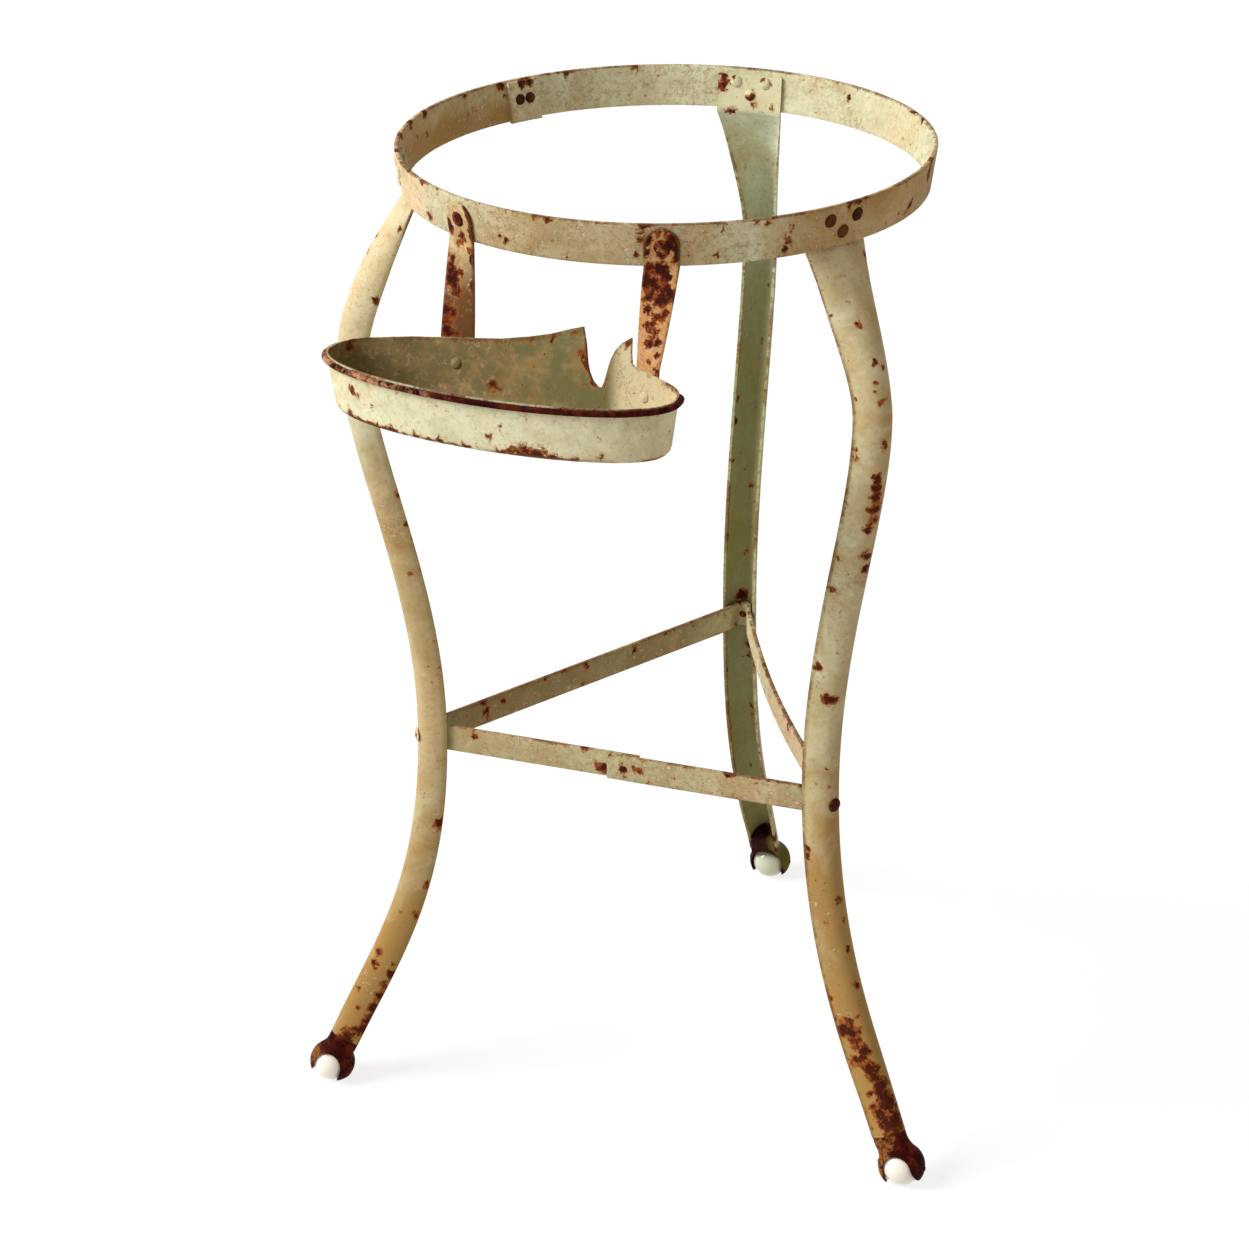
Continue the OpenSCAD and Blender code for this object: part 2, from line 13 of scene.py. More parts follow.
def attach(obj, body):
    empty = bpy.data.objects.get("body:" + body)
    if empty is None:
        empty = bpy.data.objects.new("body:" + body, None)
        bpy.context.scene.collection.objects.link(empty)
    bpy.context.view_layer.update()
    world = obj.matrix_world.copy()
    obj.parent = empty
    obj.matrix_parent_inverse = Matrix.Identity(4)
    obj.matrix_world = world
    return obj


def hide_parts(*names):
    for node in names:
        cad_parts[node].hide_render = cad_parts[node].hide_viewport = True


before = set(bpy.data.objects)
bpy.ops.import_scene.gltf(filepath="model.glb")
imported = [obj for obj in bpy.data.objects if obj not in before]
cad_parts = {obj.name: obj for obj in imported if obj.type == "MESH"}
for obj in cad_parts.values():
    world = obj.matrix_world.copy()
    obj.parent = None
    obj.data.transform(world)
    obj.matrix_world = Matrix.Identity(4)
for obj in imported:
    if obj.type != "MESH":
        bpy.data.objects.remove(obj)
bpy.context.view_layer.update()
MM = 0.001

# ---------------------------------------------------------------- camera

IMAGE = 1249
FOCAL_PX = 3256.5
SENSOR_W = 36
CAMERA_AT = (669.5 * MM, -1953.1 * MM, 1323.4 * MM)
TURN = math.radians(18.92)  # the photograph is taken from this far to the right
PITCH = 0.4436
YAW = -0.0148
ROLL = -0.0108


def add_camera():
    """The camera of the photograph, looking down on the stand from the right."""
    forward = Vector((math.sin(YAW) * math.cos(PITCH), math.cos(YAW) * math.cos(PITCH),
                      -math.sin(PITCH)))
    right = Vector((math.cos(YAW), -math.sin(YAW), 0))
    up = right.cross(forward)
    right_rolled = math.cos(ROLL) * right + math.sin(ROLL) * up
    up_rolled = -math.sin(ROLL) * right + math.cos(ROLL) * up
    turn = Matrix.Rotation(TURN, 3, "Z")
    axes = Matrix((turn @ right_rolled, turn @ up_rolled, -(turn @ forward))).transposed()
    data = bpy.data.cameras.new("camera")
    data.sensor_width = SENSOR_W
    data.lens = FOCAL_PX / IMAGE * SENSOR_W
    data.clip_start = 0.1
    data.clip_end = 30
    camera = bpy.data.objects.new("camera", data)
    camera.matrix_world = Matrix.Translation(CAMERA_AT) @ axes.to_4x4()
    bpy.context.scene.collection.objects.link(camera)
    bpy.context.scene.camera = camera


# ---------------------------------------------------------------- sizes, millimetres

HOOP_R = 178.0
STAND_H = 695.0
STRIP_W = 28.0
STRIP_T = 3.0
STRIP_LEAN = math.radians(8)
HOOP_BOTTOM = STAND_H - STRIP_W
STRIP_RUN = STRIP_T / math.cos(STRIP_LEAN)
LAP_TURN = -126.0
LAP_LEN = 26.0
LAP_STEP = 0.8
LAP_SINK = 0.05
SEAT = 0.1  # the gap between two pieces that lie on each other
HOOP_WEAR = 3.4  # how far the wear reaches from an edge

# A leg's turns from the front, in degrees, at its tab, middle and foot, and the foot's reach
Leg = namedtuple("Leg", "tab_turn middle_turn foot_turn reach")
LEGS = {"left": Leg(-62.5, -60.0, -59.5, 252.0),
        "right": Leg(57.5, 57.25, 60.0, 244.0),
        "rear": Leg(178.6, 179.5, 180.4, 259.0)}
LEG_T = 2.0
LEG_W = 25.0
LEG_DEPTH = 19.0
TAB_W = 47.0
TAB_TOP = STAND_H - 4.5
FLARE_H = 90.0
LIP_STEP = 0.3
# Points of a leg's crown, as reach from the axis and height, and how far its curve is drawn out
# above and below each of them
KNEE = (222.0, 561.0)
KNEE_PULL = (45.0, 68.0)
WAIST = (179.0, 288.0)
WAIST_PULL = (108.0, 128.0)
CREASE_PULL = 12.0
ANKLE_PULL = 80.0
ANKLE_H = 40.0
ANKLE_W = 23.0
ANKLE_SPLAY = math.radians(25.5)
ANKLE_DOWN = (math.sin(ANKLE_SPLAY), -math.cos(ANKLE_SPLAY))
ANKLE_OUT = (math.cos(ANKLE_SPLAY), math.sin(ANKLE_SPLAY))
CROWN_OFFSET = 10.5
CUP_TOP = 24.0

BALL_R = 14.0
BALL_GAP = 0.4
CUP_T = 2.0
CUP_IN = BALL_R + BALL_GAP
CUP_OUT = CUP_IN + CUP_T
ARCH_W = 21.0
ARCH_RISE = 12.5
CHEEK_CLEAR = 5.0
TONGUE_GAP = 0.4
TONGUE_LEN = 14.5
REAR_MOUTH = 2.6  # how much wider the rear arch opens to the front
AXLE_R = 2.0
AXLE_GAP = 0.08
NEEDLE = 0.2  # a turned solid's radius where it closes on its axis

BAND_W = 19.0
BAND_T = 3.0
BAND_H = 274.0
BAND_FLAT = 4.5
BAND_MOUTH = 7.6
BAND_BOW = 7.0
BAND_BEND = 3.5
BAND_LAP = 22.0
BAND_SINK = 0.02
BAND_WEAR = 2.0

RACK_TURN = -5.0
HANGER_SPREAD = 23.0
HANGER_W = 22.5
HANGER_FOOT = {-1: 22.5, 1: 18.0}
HANGER_T = 2.0
HANGER_LAP = 30.0
HANGER_EASE = 0.35
RIGHT_HANGER_IN = 4.5
DISH_HALF_LEN = 119.0
DISH_HALF_WIDE = 43.0
DISH_H = 38.0
DISH_T = 1.2
DISH_TAPER = math.radians(8)
DISH_RIM_H = 602.0
DISH_REACH = 211.0
DISH_SHIFT = -20.0
DISH_FOOT = 5.0
DISH_FLOOR = 30.0
WIRE_R = 2.0
WIRE_SEAT = 0.82

MID_STRIP = HOOP_BOTTOM + STRIP_W / 2
TAB_Z = STAND_H - 9.5
TAB_PITCH = 22.0
TAB_ROW_GAP = 9.0
LAP_HALF_PITCH = 4.2
DISH_RIVET_DOWN = 14.0
# Radius and height of each rivet's head and of its clenched tail
RIVETS = {"tab": ((4.5, 1.4), (4.0, 1.8)), "lap": ((4.0, 1.8), (3.75, 1.8)),
          "hanger": ((5.0, 1.6), (4.0, 1.4)), "band": ((5.0, 2.0), (2.8, 1.4)),
          "dish": ((4.0, 1.4), (3.5, 1.0))}
DISH_TAIL_AT = 0.3  # how far the tails stand off the dish's inner face
HEAD_HAMMERED = 0.15
TAIL_HAMMERED = 0.35
HAMMER_SCALE = 420


# ---------------------------------------------------------------- worn places

# Places where the paint is gone to rust: x, y, z and radius in millimetres, and how bare
SPOTS = {
    "hoop": (
        (-175, 9, 695, 3.6, 1), (-174, -17, 695, 3.6, 1), (-170, -44, 695, 3.6, 1),
        (-158, -78, 695, 2.9, 0.9), (-173, 7, 679, 2.2, 0.85), (-173, -9, 683, 1.8, 0.7),
        (-165, 56, 693, 2.2, 0.9), (-151, 88, 692, 2.9, 0.95), (-140, 100, 693, 3.3, 1),
        (-136, 105, 694, 3.3, 1), (-118, 129, 693, 2.5, 0.95), (-77, 157, 693, 2.9, 0.9),
        (-161, 64, 682, 1.8, 0.65), (-156, 75, 680, 1.8, 0.65), (-148, 90, 685, 2.2, 0.7),
        (-112, -134, 673, 2.9, 0.95), (-117, -134, 694, 2.2, 0.8), (-24, -176, 694, 2.5, 0.9),
        (-16, -177, 693, 2.2, 0.8), (-47, -169, 674, 2.5, 0.9), (-51, -168, 676, 1.4, 0.7),
        (-5, -175, 670, 2.2, 0.95), (39, -171, 674, 2.9, 0.7), (42, -171, 685, 3.6, 0.65),
        (45, -172, 694, 3.6, 0.65), (81, 154, 686, 2, 0.9), (49, 167, 685, 1.4, 0.8),
        (140, 108, 695, 2.9, 0.95), (149, 92, 695, 2.5, 0.95), (177, 4, 687, 4.7, 0.95),
        (178, 8, 693, 3.6, 0.9), (173, -27, 676, 2.9, 1), (172, -34, 673, 2.2, 0.95),
        (170, -42, 674, 1.4, 0.8), (152, -93, 694, 2.9, 0.9), (155, -87, 694, 2.9, 0.95),
        (159, -80, 694, 2.5, 0.9), (125, -125, 686, 3.3, 0.45), (122, -126, 676, 3.6, 0.48),
        (120, -127, 672, 2.9, 0.6), (111, -138, 690, 2.2, 0.6), (114, -136, 693, 2.2, 0.55),
        (108, -141, 693, 2.2, 0.5), (90, -153, 689, 1.8, 0.6), (70, -160, 674, 2.2, 0.4),
        (85, -153, 673, 1.8, 0.75), (68, -162, 681, 2.9, 0.4), (143, -99, 667, 1.4, 0.6),
        (165, -61, 680, 1.2, 0.7)),
    "leg_left": (
        (-156, -104, 462, 2.5, 1), (-151, -102, 440, 1.8, 0.9), (-149, -100, 429, 1.4, 0.8),
        (-151, -100, 404, 2.9, 0.65), (-140, -95, 209, 2.9, 1), (-140, -95, 205, 2.9, 0.9),
        (-148, -98, 197, 1.4, 0.8), (-149, -101, 160, 2.5, 1), (-156, -106, 135, 3.6, 1),
        (-167, -108, 138, 1.8, 0.8), (-182, -115, 105, 2.9, 0.9), (-184, -117, 97, 3.3, 0.95),
        (-171, -115, 97, 1.8, 0.9), (-173, -116, 89, 2.9, 1), (-177, -118, 80, 3.3, 1),
        (-180, -120, 72, 4, 1), (-184, -122, 62, 4.3, 1), (-189, -125, 53, 4.3, 1),
        (-193, -127, 44, 5.1, 1), (-196, -122, 76, 2.2, 0.6), (-194, -126, 62, 3.6, 0.75),
        (-202, -130, 44, 5.1, 0.8), (-205, -132, 36, 5.8, 1), (-170, -89, 639, 2.5, 0.85),
        (-175, -93, 629, 2.2, 0.75), (-148, -100, 649, 2.2, 0.9), (-164, -107, 603, 1.8, 0.95),
        (-164, -108, 599, 1.8, 0.9), (-182, -109, 598, 1.4, 0.85)),
    "leg_right": (
        (158, -77, 657, 2.9, 1), (147, -115, 628, 2.2, 0.9), (165, -114, 623, 2.3, 1),
        (158, -110, 636, 1.3, 0.8), (177, -117, 602, 2.2, 0.95), (181, -114, 598, 2.2, 0.9),
        (178, -121, 589, 1.6, 1), (179, -122, 583, 1.6, 0.9), (183, -121, 578, 2.2, 0.95),
        (186, -117, 581, 2.2, 0.9), (165, -121, 577, 1.4, 0.8), (185, -121, 547, 4.3, 0.75),
        (167, -122, 543, 2.2, 0.9), (167, -122, 537, 2.2, 0.9), (181, -121, 525, 3.6, 1),
        (181, -120, 519, 3.6, 1), (180, -119, 512, 4, 1), (179, -118, 503, 4.3, 1),
        (178, -117, 494, 4, 1), (175, -117, 487, 3.3, 1), (173, -114, 468, 4, 0.9),
        (172, -110, 457, 4, 1), (155, -114, 463, 2.2, 0.9), (150, -111, 440, 2.5, 0.9),
        (139, -104, 379, 3.3, 1), (144, -104, 356, 2.9, 0.95), (148, -104, 356, 3.6, 1),
        (151, -103, 356, 2.9, 0.95), (146, -101, 302, 1.4, 0.8), (149, -99, 288, 1.8, 0.8),
        (133, -99, 239, 2.5, 0.95), (134, -99, 232, 2.5, 0.95), (156, -98, 202, 3.3, 1),
        (160, -98, 186, 2.5, 0.95), (163, -100, 168, 2.2, 0.95), (147, -103, 186, 1.4, 0.8),
        (164, -100, 165, 2.2, 1), (171, -102, 141, 3.3, 0.9), (153, -106, 128, 1.4, 0.9),
        (157, -108, 114, 1.4, 0.9), (179, -104, 119, 2.2, 0.8), (173, -109, 119, 2.9, 0.8),
        (167, -111, 114, 4.3, 0.9), (163, -110, 106, 3.6, 0.95), (171, -112, 108, 5.1, 1),
        (174, -113, 100, 5.1, 1), (182, -114, 95, 4.3, 1), (176, -115, 88, 5.1, 1),
        (184, -116, 84, 5.1, 1), (190, -116, 79, 5.8, 1), (194, -118, 71, 5.8, 1),
        (185, -120, 65, 2.9, 0.9), (198, -119, 62, 6.5, 1), (193, -122, 54, 5.8, 1),
        (203, -121, 53, 6.5, 1), (207, -122, 45, 6.5, 1), (200, -124, 46, 5.1, 0.9),
        (209, -124, 40, 6.5, 1), (202, -126, 38, 4.3, 0.85)),
    "leg_rear": (
        (-14, 182, 631, 1.3, 0.9), (6, 215, 522, 1.4, 0.9), (-9, 186, 442, 2.2, 0.9),
        (-9, 182, 426, 2.5, 1), (-9, 176, 395, 1.4, 0.8), (4, 184, 374, 2.5, 0.95),
        (-2, 186, 387, 1.8, 0.8), (-9, 165, 340, 1.8, 0.9), (-1, 178, 320, 1.8, 0.9),
        (-9, 166, 228, 1.8, 0.8), (3, 179, 245, 2.2, 0.85), (4, 179, 236, 2.2, 0.85),
        (4, 188, 188, 2.5, 0.95), (-4, 211, 125, 1.8, 0.8), (-2, 176, 287, 4.3, 1),
        (-15, 171, 683, 4.3, 0.85), (-16, 171, 688, 3.6, 0.9), (1, 172, 686, 1.8, 0.8),
        (19, 171, 687, 2.2, 0.75), (-9, 169, 665, 3.6, 0.85), (8, 169, 668, 2.2, 0.8),
        (20, 168, 668, 2.2, 0.8), (-12, 239, 36, 4.3, 1), (8, 233, 49, 4.3, 1),
        (10, 242, 33, 4.3, 1), (-6, 170, 687, 2.2, 0.8), (6, 169, 678, 2.9, 0.7)),
    "band": (
        (-123, -42, 275, 3.3, 0.8), (-115, -29, 278, 2.2, 0.8), (-95, 5, 281, 1.8, 0.8),
        (-76, 37, 280, 2.5, 0.95), (-53, 78, 279, 2.5, 0.95), (-123, -44, 281, 1.8, 0.8),
        (-113, -88, 279, 3.3, 0.65), (-30, -87, 283, 2.5, 0.95), (-22, -89, 272, 2.5, 1),
        (-16, -90, 272, 2.5, 1), (-1, -93, 274, 2.9, 0.95), (9, -93, 275, 2.5, 0.9),
        (-10, -92, 283, 1.8, 0.6), (74, -91, 284, 2.5, 0.9), (78, -92, 283, 2.2, 0.8),
        (127, -94, 282, 2.2, 0.9), (-2, 173, 284, 2.9, 0.9), (49, 75, 283, 1.8, 0.8),
        (91, -7, 279, 1.8, 0.8), (-126, -49, 268, 2.2, 0.6)),
    "soap_dish": (
        (-130, -227, 587, 3.3, 0.9), (-124, -229, 584, 2.2, 0.75), (-114, -233, 578, 2.2, 0.7),
        (-133, -222, 568, 3.6, 0.65), (-125, -225, 566, 3.6, 0.7), (-113, -230, 565, 3.6, 0.7),
        (-98, -235, 566, 2.5, 0.85), (-82, -240, 567, 2.2, 0.85), (-64, -243, 567, 2.2, 0.8),
        (-47, -246, 567, 2.5, 0.75), (-23, -247, 566, 3.3, 0.75), (-14, -248, 568, 4.3, 0.72),
        (-6, -248, 570, 5.1, 0.76), (2, -248, 569, 4.3, 0.72), (11, -246, 567, 2.9, 0.7),
        (24, -244, 566, 2.2, 0.8), (-29, -248, 576, 2.5, 0.7), (-30, -250, 585, 1.4, 0.8),
        (-23, -250, 586, 1.4, 0.8), (41, -242, 568, 1.8, 0.75), (4, -171, 604, 3.3, 0.9),
        (5, -170, 612, 1.8, 0.6), (8, -172, 598, 2.2, 0.6), (12, -173, 590, 2.5, 0.9),
        (19, -176, 589, 2.5, 0.7), (-57, -169, 577, 4.3, 0.6), (36, -176, 620, 2.9, 0.9),
        (-3, -168, 617, 1.8, 0.8), (-18, -167, 612, 1.4, 0.8), (-150, -184, 598, 3.6, 0.7),
        (-118, -228, 565, 2.2, 0.75), (-105, -233, 565, 1.9, 0.8), (-90, -238, 565, 1.8, 0.8),
        (-73, -242, 565, 1.8, 0.8), (-55, -245, 565, 1.8, 0.75), (-38, -247, 565, 2, 0.8)),
    "hanger_left": (
        (-75, -161, 687, 2.2, 1), (-73, -161, 680, 2.5, 1), (-72, -160, 672, 2.5, 1),
        (-92, -152, 676, 2.5, 0.95), (-90, -152, 671, 2.9, 0.95), (-82, -157, 671, 2.2, 0.85),
        (-80, -157, 667, 2.5, 0.75), (-76, -159, 662, 2.2, 0.8), (-89, -155, 654, 3.6, 0.8),
        (-89, -156, 646, 4.3, 0.9), (-84, -158, 646, 3.6, 0.9), (-87, -158, 640, 5.1, 1),
        (-85, -159, 634, 3.6, 1), (-73, -161, 656, 2.5, 0.95), (-73, -161, 640, 2.2, 1),
        (-92, -160, 621, 3.3, 1), (-87, -161, 621, 2.9, 0.9), (-91, -162, 614, 3.6, 1),
        (-91, -163, 607, 4, 1), (-85, -163, 605, 2.9, 0.85), (-73, -161, 683, 2.2, 0.95),
        (-76, -161, 689, 2.2, 0.8), (-92, -152, 673, 1.8, 0.85), (-84, -155, 666, 2.5, 0.8)),
    "hanger_right": (
        (47, -172, 685, 3.3, 0.9), (53, -170, 691, 2.5, 0.8), (60, -168, 690, 2.9, 0.9),
        (62, -168, 684, 5.1, 1), (64, -166, 676, 3.3, 1), (46, -172, 677, 2.9, 1),
        (55, -169, 676, 3.3, 0.85), (47, -170, 667, 3.3, 1), (52, -169, 666, 3.3, 1),
        (57, -167, 665, 3.3, 1), (48, -171, 658, 5.1, 1), (57, -168, 660, 3.3, 1),
        (58, -170, 654, 3.3, 1), (63, -170, 650, 3.3, 1), (48, -172, 649, 3.3, 1),
        (56, -172, 648, 3.3, 1), (48, -174, 641, 2.5, 0.95), (58, -174, 640, 2.2, 0.95),
        (53, -175, 636, 2.9, 0.85), (49, -176, 631, 3.3, 0.85), (53, -177, 627, 3.6, 0.85),
        (49, -178, 620, 2.5, 0.9), (56, -179, 622, 2.5, 0.9), (56, -181, 615, 1.8, 0.8),
        (51, -181, 610, 1.8, 0.7), (57, -184, 607, 2.2, 0.9)),
    "hanger_rivets": (
        (-82, -158, 681, 5.5, 1), (-86, -157, 677, 2.2, 0.8), (58, -168, 683, 5.8, 1),
        (52, -170, 677, 3.3, 0.9)),
    "leg_rear_rivets": (
        (5, 170, 675, 2.9, 0.75), (-8, 171, 689, 2.2, 0.7), (15, 171, 688, 2.2, 0.7)),
    "band_rivets": (
        (-156, -90, 274, 4.3, 0.6), (152, -98, 274, 7.2, 1), (-2, 172, 274, 7.2, 1))}


# How deep the brown stain and painted shade are: round the hoop's two faces by turn, down each leg
# by height
# The painted shade is deepest on the hoop's outside right and inside left, which face away from
# the light
HOOP_OUTSIDE_STAIN_AND_SHADE = ((-180, 0.5), (-90, 0.1), (-55, 0.0), (-30, 0.15), (-8, 0.5), (15, 0.45),
                      (38, 0.2), (47, 0.75), (66, 0.85), (80, 0.9), (110, 0.9), (180, 0.5))
HOOP_INSIDE_STAIN_AND_SHADE = ((-180, 0.1), (-150, 0.2), (-122.5, 0.3), (-121.5, 0.85), (-95, 1.0),
                     (-60, 0.9), (0, 0.4), (60, 0.2), (90, 0.0), (140, 0.05), (180, 0.1))
# Down the legs it deepens low down, partly as painted shade
LEG_STAIN_AND_SHADE = {"left": ((30, 1.0), (70, 1.0), (130, 0.9), (180, 0.65), (260, 0.4), (420, 0.6),
                      (520, 0.1), (600, 0.0), (690, 0.0)),
             "right": ((30, 1.2), (110, 1.2), (200, 1.15), (280, 0.85), (380, 0.6), (500, 0.7),
                       (580, 0.7), (640, 0.25), (690, 0.1)),
             "rear": ((30, 0.8), (80, 0.4), (200, 0.2), (690, 0.0))}
# How much deeper it is on a leg's side towards +X, as painted shade on the side away from the
# light
LEG_SHADE_SIDE = {"left": 0.15, "right": 0.25, "rear": 0.0}
HANGER_STAIN = {"hanger_left": ((570, 1.2), (615, 1.2), (640, 0.8), (662, 0.15), (690, 0.05)),
                "hanger_right": ((570, 0.3), (620, 0.45), (650, 0.5), (690, 0.4))}
PEACH_TURN = -68  # where the undercoat shows most, and how wide
PEACH_SPREAD = 22
SPOT_FALL = 0.62  # how fast a spot fades with each radius
SPOT_WANDER = 2.2  # how far its outline strays, in millimetres
SPOT_WANDER_SCALE = 0.22


# ---------------------------------------------------------------- curves and meshes

def mix(a, b, t):
    """The value that lies a share `t` of the way from a to b."""
    return a + (b - a) * t


def eased(t):
    """0 up to 0, 1 from 1 on, and smooth between."""
    u = min(1.0, max(0.0, t))
    return u * u * (3 - 2 * u)


def half_turn(steps):
    """Angles from 0 to half a turn."""
    return [math.pi * i / steps for i in range(steps + 1)]


def bezier(p, t):
    """A point of a cubic curve and its direction."""
    u = 1 - t
    w = (u ** 3, 3 * t * u * u, 3 * t * t * u, t ** 3)
    d = (u * u, 2 * t * u, t * t)
    point = [sum(w[i] * p[i][k] for i in range(4)) for k in (0, 1)]
    run = [sum(d[i] * (p[i + 1][k] - p[i][k]) for i in range(3)) for k in (0, 1)]
    size = math.hypot(*run)
    return point, (run[0] / size, run[1] / size)


def along(rows, at):
    """The value at a place between (place, value) rows."""
    for (a, value_a), (b, value_b) in zip(rows, rows[1:]):
        if a <= at <= b:
            return mix(value_a, value_b, (at - a) / (b - a))
    return rows[0][1] if at < rows[0][0] else rows[-1][1]


def hoop_out(z):
    """The hoop's outer radius at a height; it leans in towards its bottom edge."""
    return HOOP_R - (STAND_H - z) * math.tan(STRIP_LEAN)


def hoop_in(z):
    """The hoop's inner radius at a height."""
    return hoop_out(z) - STRIP_RUN


def around(turn, x, reach, z):
    """A point `reach` from the axis and `x` to the side, at a turn from the front."""
    a = math.radians(turn)
    return Vector((x * math.cos(a) + reach * math.sin(a),
                   x * math.sin(a) - reach * math.cos(a), z)) * MM


def new_mesh(name, points, faces, marks=None):
    """An object from points in metres; marks are named numbers kept on the points."""
    mesh = bpy.data.meshes.new(name)
    mesh.from_pydata([tuple(p) for p in points], [], faces)
    for mark, values in (marks or {}).items():
        mesh.attributes.new(mark, "FLOAT", "POINT").data.foreach_set("value", values)
    mesh.validate()
    mesh.shade_smooth()
    obj = bpy.data.objects.new(name, mesh)
    bpy.context.scene.collection.objects.link(obj)
    return obj


def lofted(name, rings, closed=False, marks=None):
    """A closed skin over rings of points; the ends are capped unless the rings close up."""
    n, m = len(rings[0]), len(rings)
    faces = []
    for k in range(m if closed else m - 1):
        a, b = k * n, ((k + 1) % m) * n
        faces += [(a + i, b + i, b + (i + 1) % n, a + (i + 1) % n) for i in range(n)]
    if not closed:
        faces.append(tuple(range(n)))
        faces.append(tuple((m - 1) * n + i for i in range(n - 1, -1, -1)))
    obj = new_mesh(name, [p for ring in rings for p in ring], faces, marks)
    tidy_normals(obj)
    return obj


def tidy_normals(obj):
    """Merges doubles and turns every face outwards."""
    bm = bmesh.new()
    bm.from_mesh(obj.data)
    bmesh.ops.remove_doubles(bm, verts=bm.verts, dist=1e-6)
    bmesh.ops.recalc_face_normals(bm, faces=bm.faces)
    bm.to_mesh(obj.data)
    bm.free()


def sharpen(obj, degrees=40):
    """Keeps edges sharper than this crisp and the rest smooth."""
    obj.data.shade_smooth()
    bm = bmesh.new()
    bm.from_mesh(obj.data)
    for edge in bm.edges:
        edge.smooth = edge.calc_face_angle(0) < math.radians(degrees)
    bm.to_mesh(obj.data)
    bm.free()


def applied(obj):
    """The object with its modifiers made part of its mesh."""
    graph = bpy.context.evaluated_depsgraph_get()
    mesh = bpy.data.meshes.new_from_object(obj.evaluated_get(graph))
    obj.modifiers.clear()
    old = obj.data
    obj.data = mesh
    bpy.data.meshes.remove(old)
    mesh.name = obj.name
    return obj


def finish_piece(obj, body, material, node):
    """Gives a piece its looks, hangs it on its body's empty and hides the CAD node it replaces."""
    obj.data.materials.clear()
    obj.data.materials.append(material)
    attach(obj, body)
    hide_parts(node)


# ---------------------------------------------------------------- hoop

def strip_ring(turn, inset=0, drop=0):
    """The hoop strip's section at a turn, with eased corners and its tall sides divided."""
    round_by, parts = 0.5, 12
    corners = [(hoop_out(STAND_H), STAND_H), (hoop_in(STAND_H), STAND_H),
               (hoop_in(HOOP_BOTTOM), HOOP_BOTTOM), (hoop_out(HOOP_BOTTOM), HOOP_BOTTOM)]
    section = []
    for i, c in enumerate(corners):
        c = Vector(c)
        before = (Vector(corners[i - 1]) - c).normalized() * round_by
        after = (Vector(corners[(i + 1) % 4]) - c).normalized() * round_by
        section += [c + before, c + (before + after) * 0.3, c + after]
        span = Vector(corners[(i + 1) % 4]) - c
        if span.length > 2 * STRIP_RUN:
            section += [c + span * f / parts for f in range(1, parts)]
    return [around(turn, 0, p[0] - inset, p[1] - drop) for p in section]


def hoop_stain_and_shade(x, y, z):
    """The hoop's stain and painted shade at a point; inside it is deeper away from the top edge.
    """
    turn = math.degrees(math.atan2(x, -y))
    inside = math.hypot(x, y) < hoop_out(z) - STRIP_RUN / 2
    low = eased((STAND_H - 8 - z) / 12)
    if not inside:
        return along(HOOP_OUTSIDE_STAIN_AND_SHADE, turn)
    return along(HOOP_INSIDE_STAIN_AND_SHADE, turn) * (0.75 + 0.35 * low)


def peach_side(p):
    """How far the peach undercoat shows: most at the left of the front, outside."""
    turn = math.degrees(math.atan2(p.x, -p.y))
    outside = math.hypot(p.x, p.y) > (hoop_out(p.z / MM) - STRIP_RUN / 2) * MM
    return eased(1.6 - abs(turn - PEACH_TURN) / PEACH_SPREAD) if outside else 0.0


def add_hoop(material):
    steps, lap_steps = 480, 24
    hoop = lofted("basin_hoop", [strip_ring(360 * i / steps) for i in range(steps)], closed=True)
    half = LAP_LEN / 2 / HOOP_R * 180 / math.pi
    lap = [strip_ring(LAP_TURN + mix(-half, half, i / lap_steps), STRIP_RUN - LAP_SINK, LAP_STEP)
           for i in range(lap_steps + 1)]
    joined([hoop, lofted("lap", lap)])
    sharpen(hoop)
    mark_edges(hoop, lambda p: min(STAND_H - p.z / MM, p.z / MM - HOOP_BOTTOM + LAP_STEP),
               HOOP_WEAR)
    mark_spots(hoop, SPOTS["hoop"] + unseen_spots(16, hoop_back, seed=5), size=0.84)
    mark_stain_and_shade(hoop, hoop_stain_and_shade)
    keep_mark(hoop, "peach", [peach_side(v.co) for v in hoop.data.vertices])
    finish_piece(hoop, "stand", material, "hoop")


def remove_object(obj):
    """Takes an object out of the scene with its mesh."""
    mesh = obj.data
    bpy.data.objects.remove(obj)
    bpy.data.meshes.remove(mesh)


def joined(objs):
    """Joins objects' meshes into the first one."""
    first = objs[0]
    bm = bmesh.new()
    for obj in objs:
        bm.from_mesh(obj.data)
    bm.to_mesh(first.data)
    bm.free()
    for obj in objs[1:]:
        remove_object(obj)
    first.data.shade_smooth()
    return first


def wander(p):
    """A smooth shift that changes from place to place and is the same in every run."""
    return Vector([noise.noise(p + Vector(away)) for away in
                   ((9.3, -1.5, -8.0), (-7.1, 4.7, 2.2), (3.6, -12.4, 6.9))])


def keep_mark(obj, name, values):
    """Keeps a number for each point of a mesh, under a name that the materials read."""
    mesh = obj.data
    kept = mesh.attributes.get(name) or mesh.attributes.new(name, "FLOAT", "POINT")
    kept.data.foreach_set("value", values)


def mark_edges(obj, distance, width):
    """Stores how near each point is to a worn edge, 1 at the edge and 0 past `width`."""
    keep_mark(obj, "edge", [eased(1 - max(0.0, distance(v.co)) / width)
                            for v in obj.data.vertices])


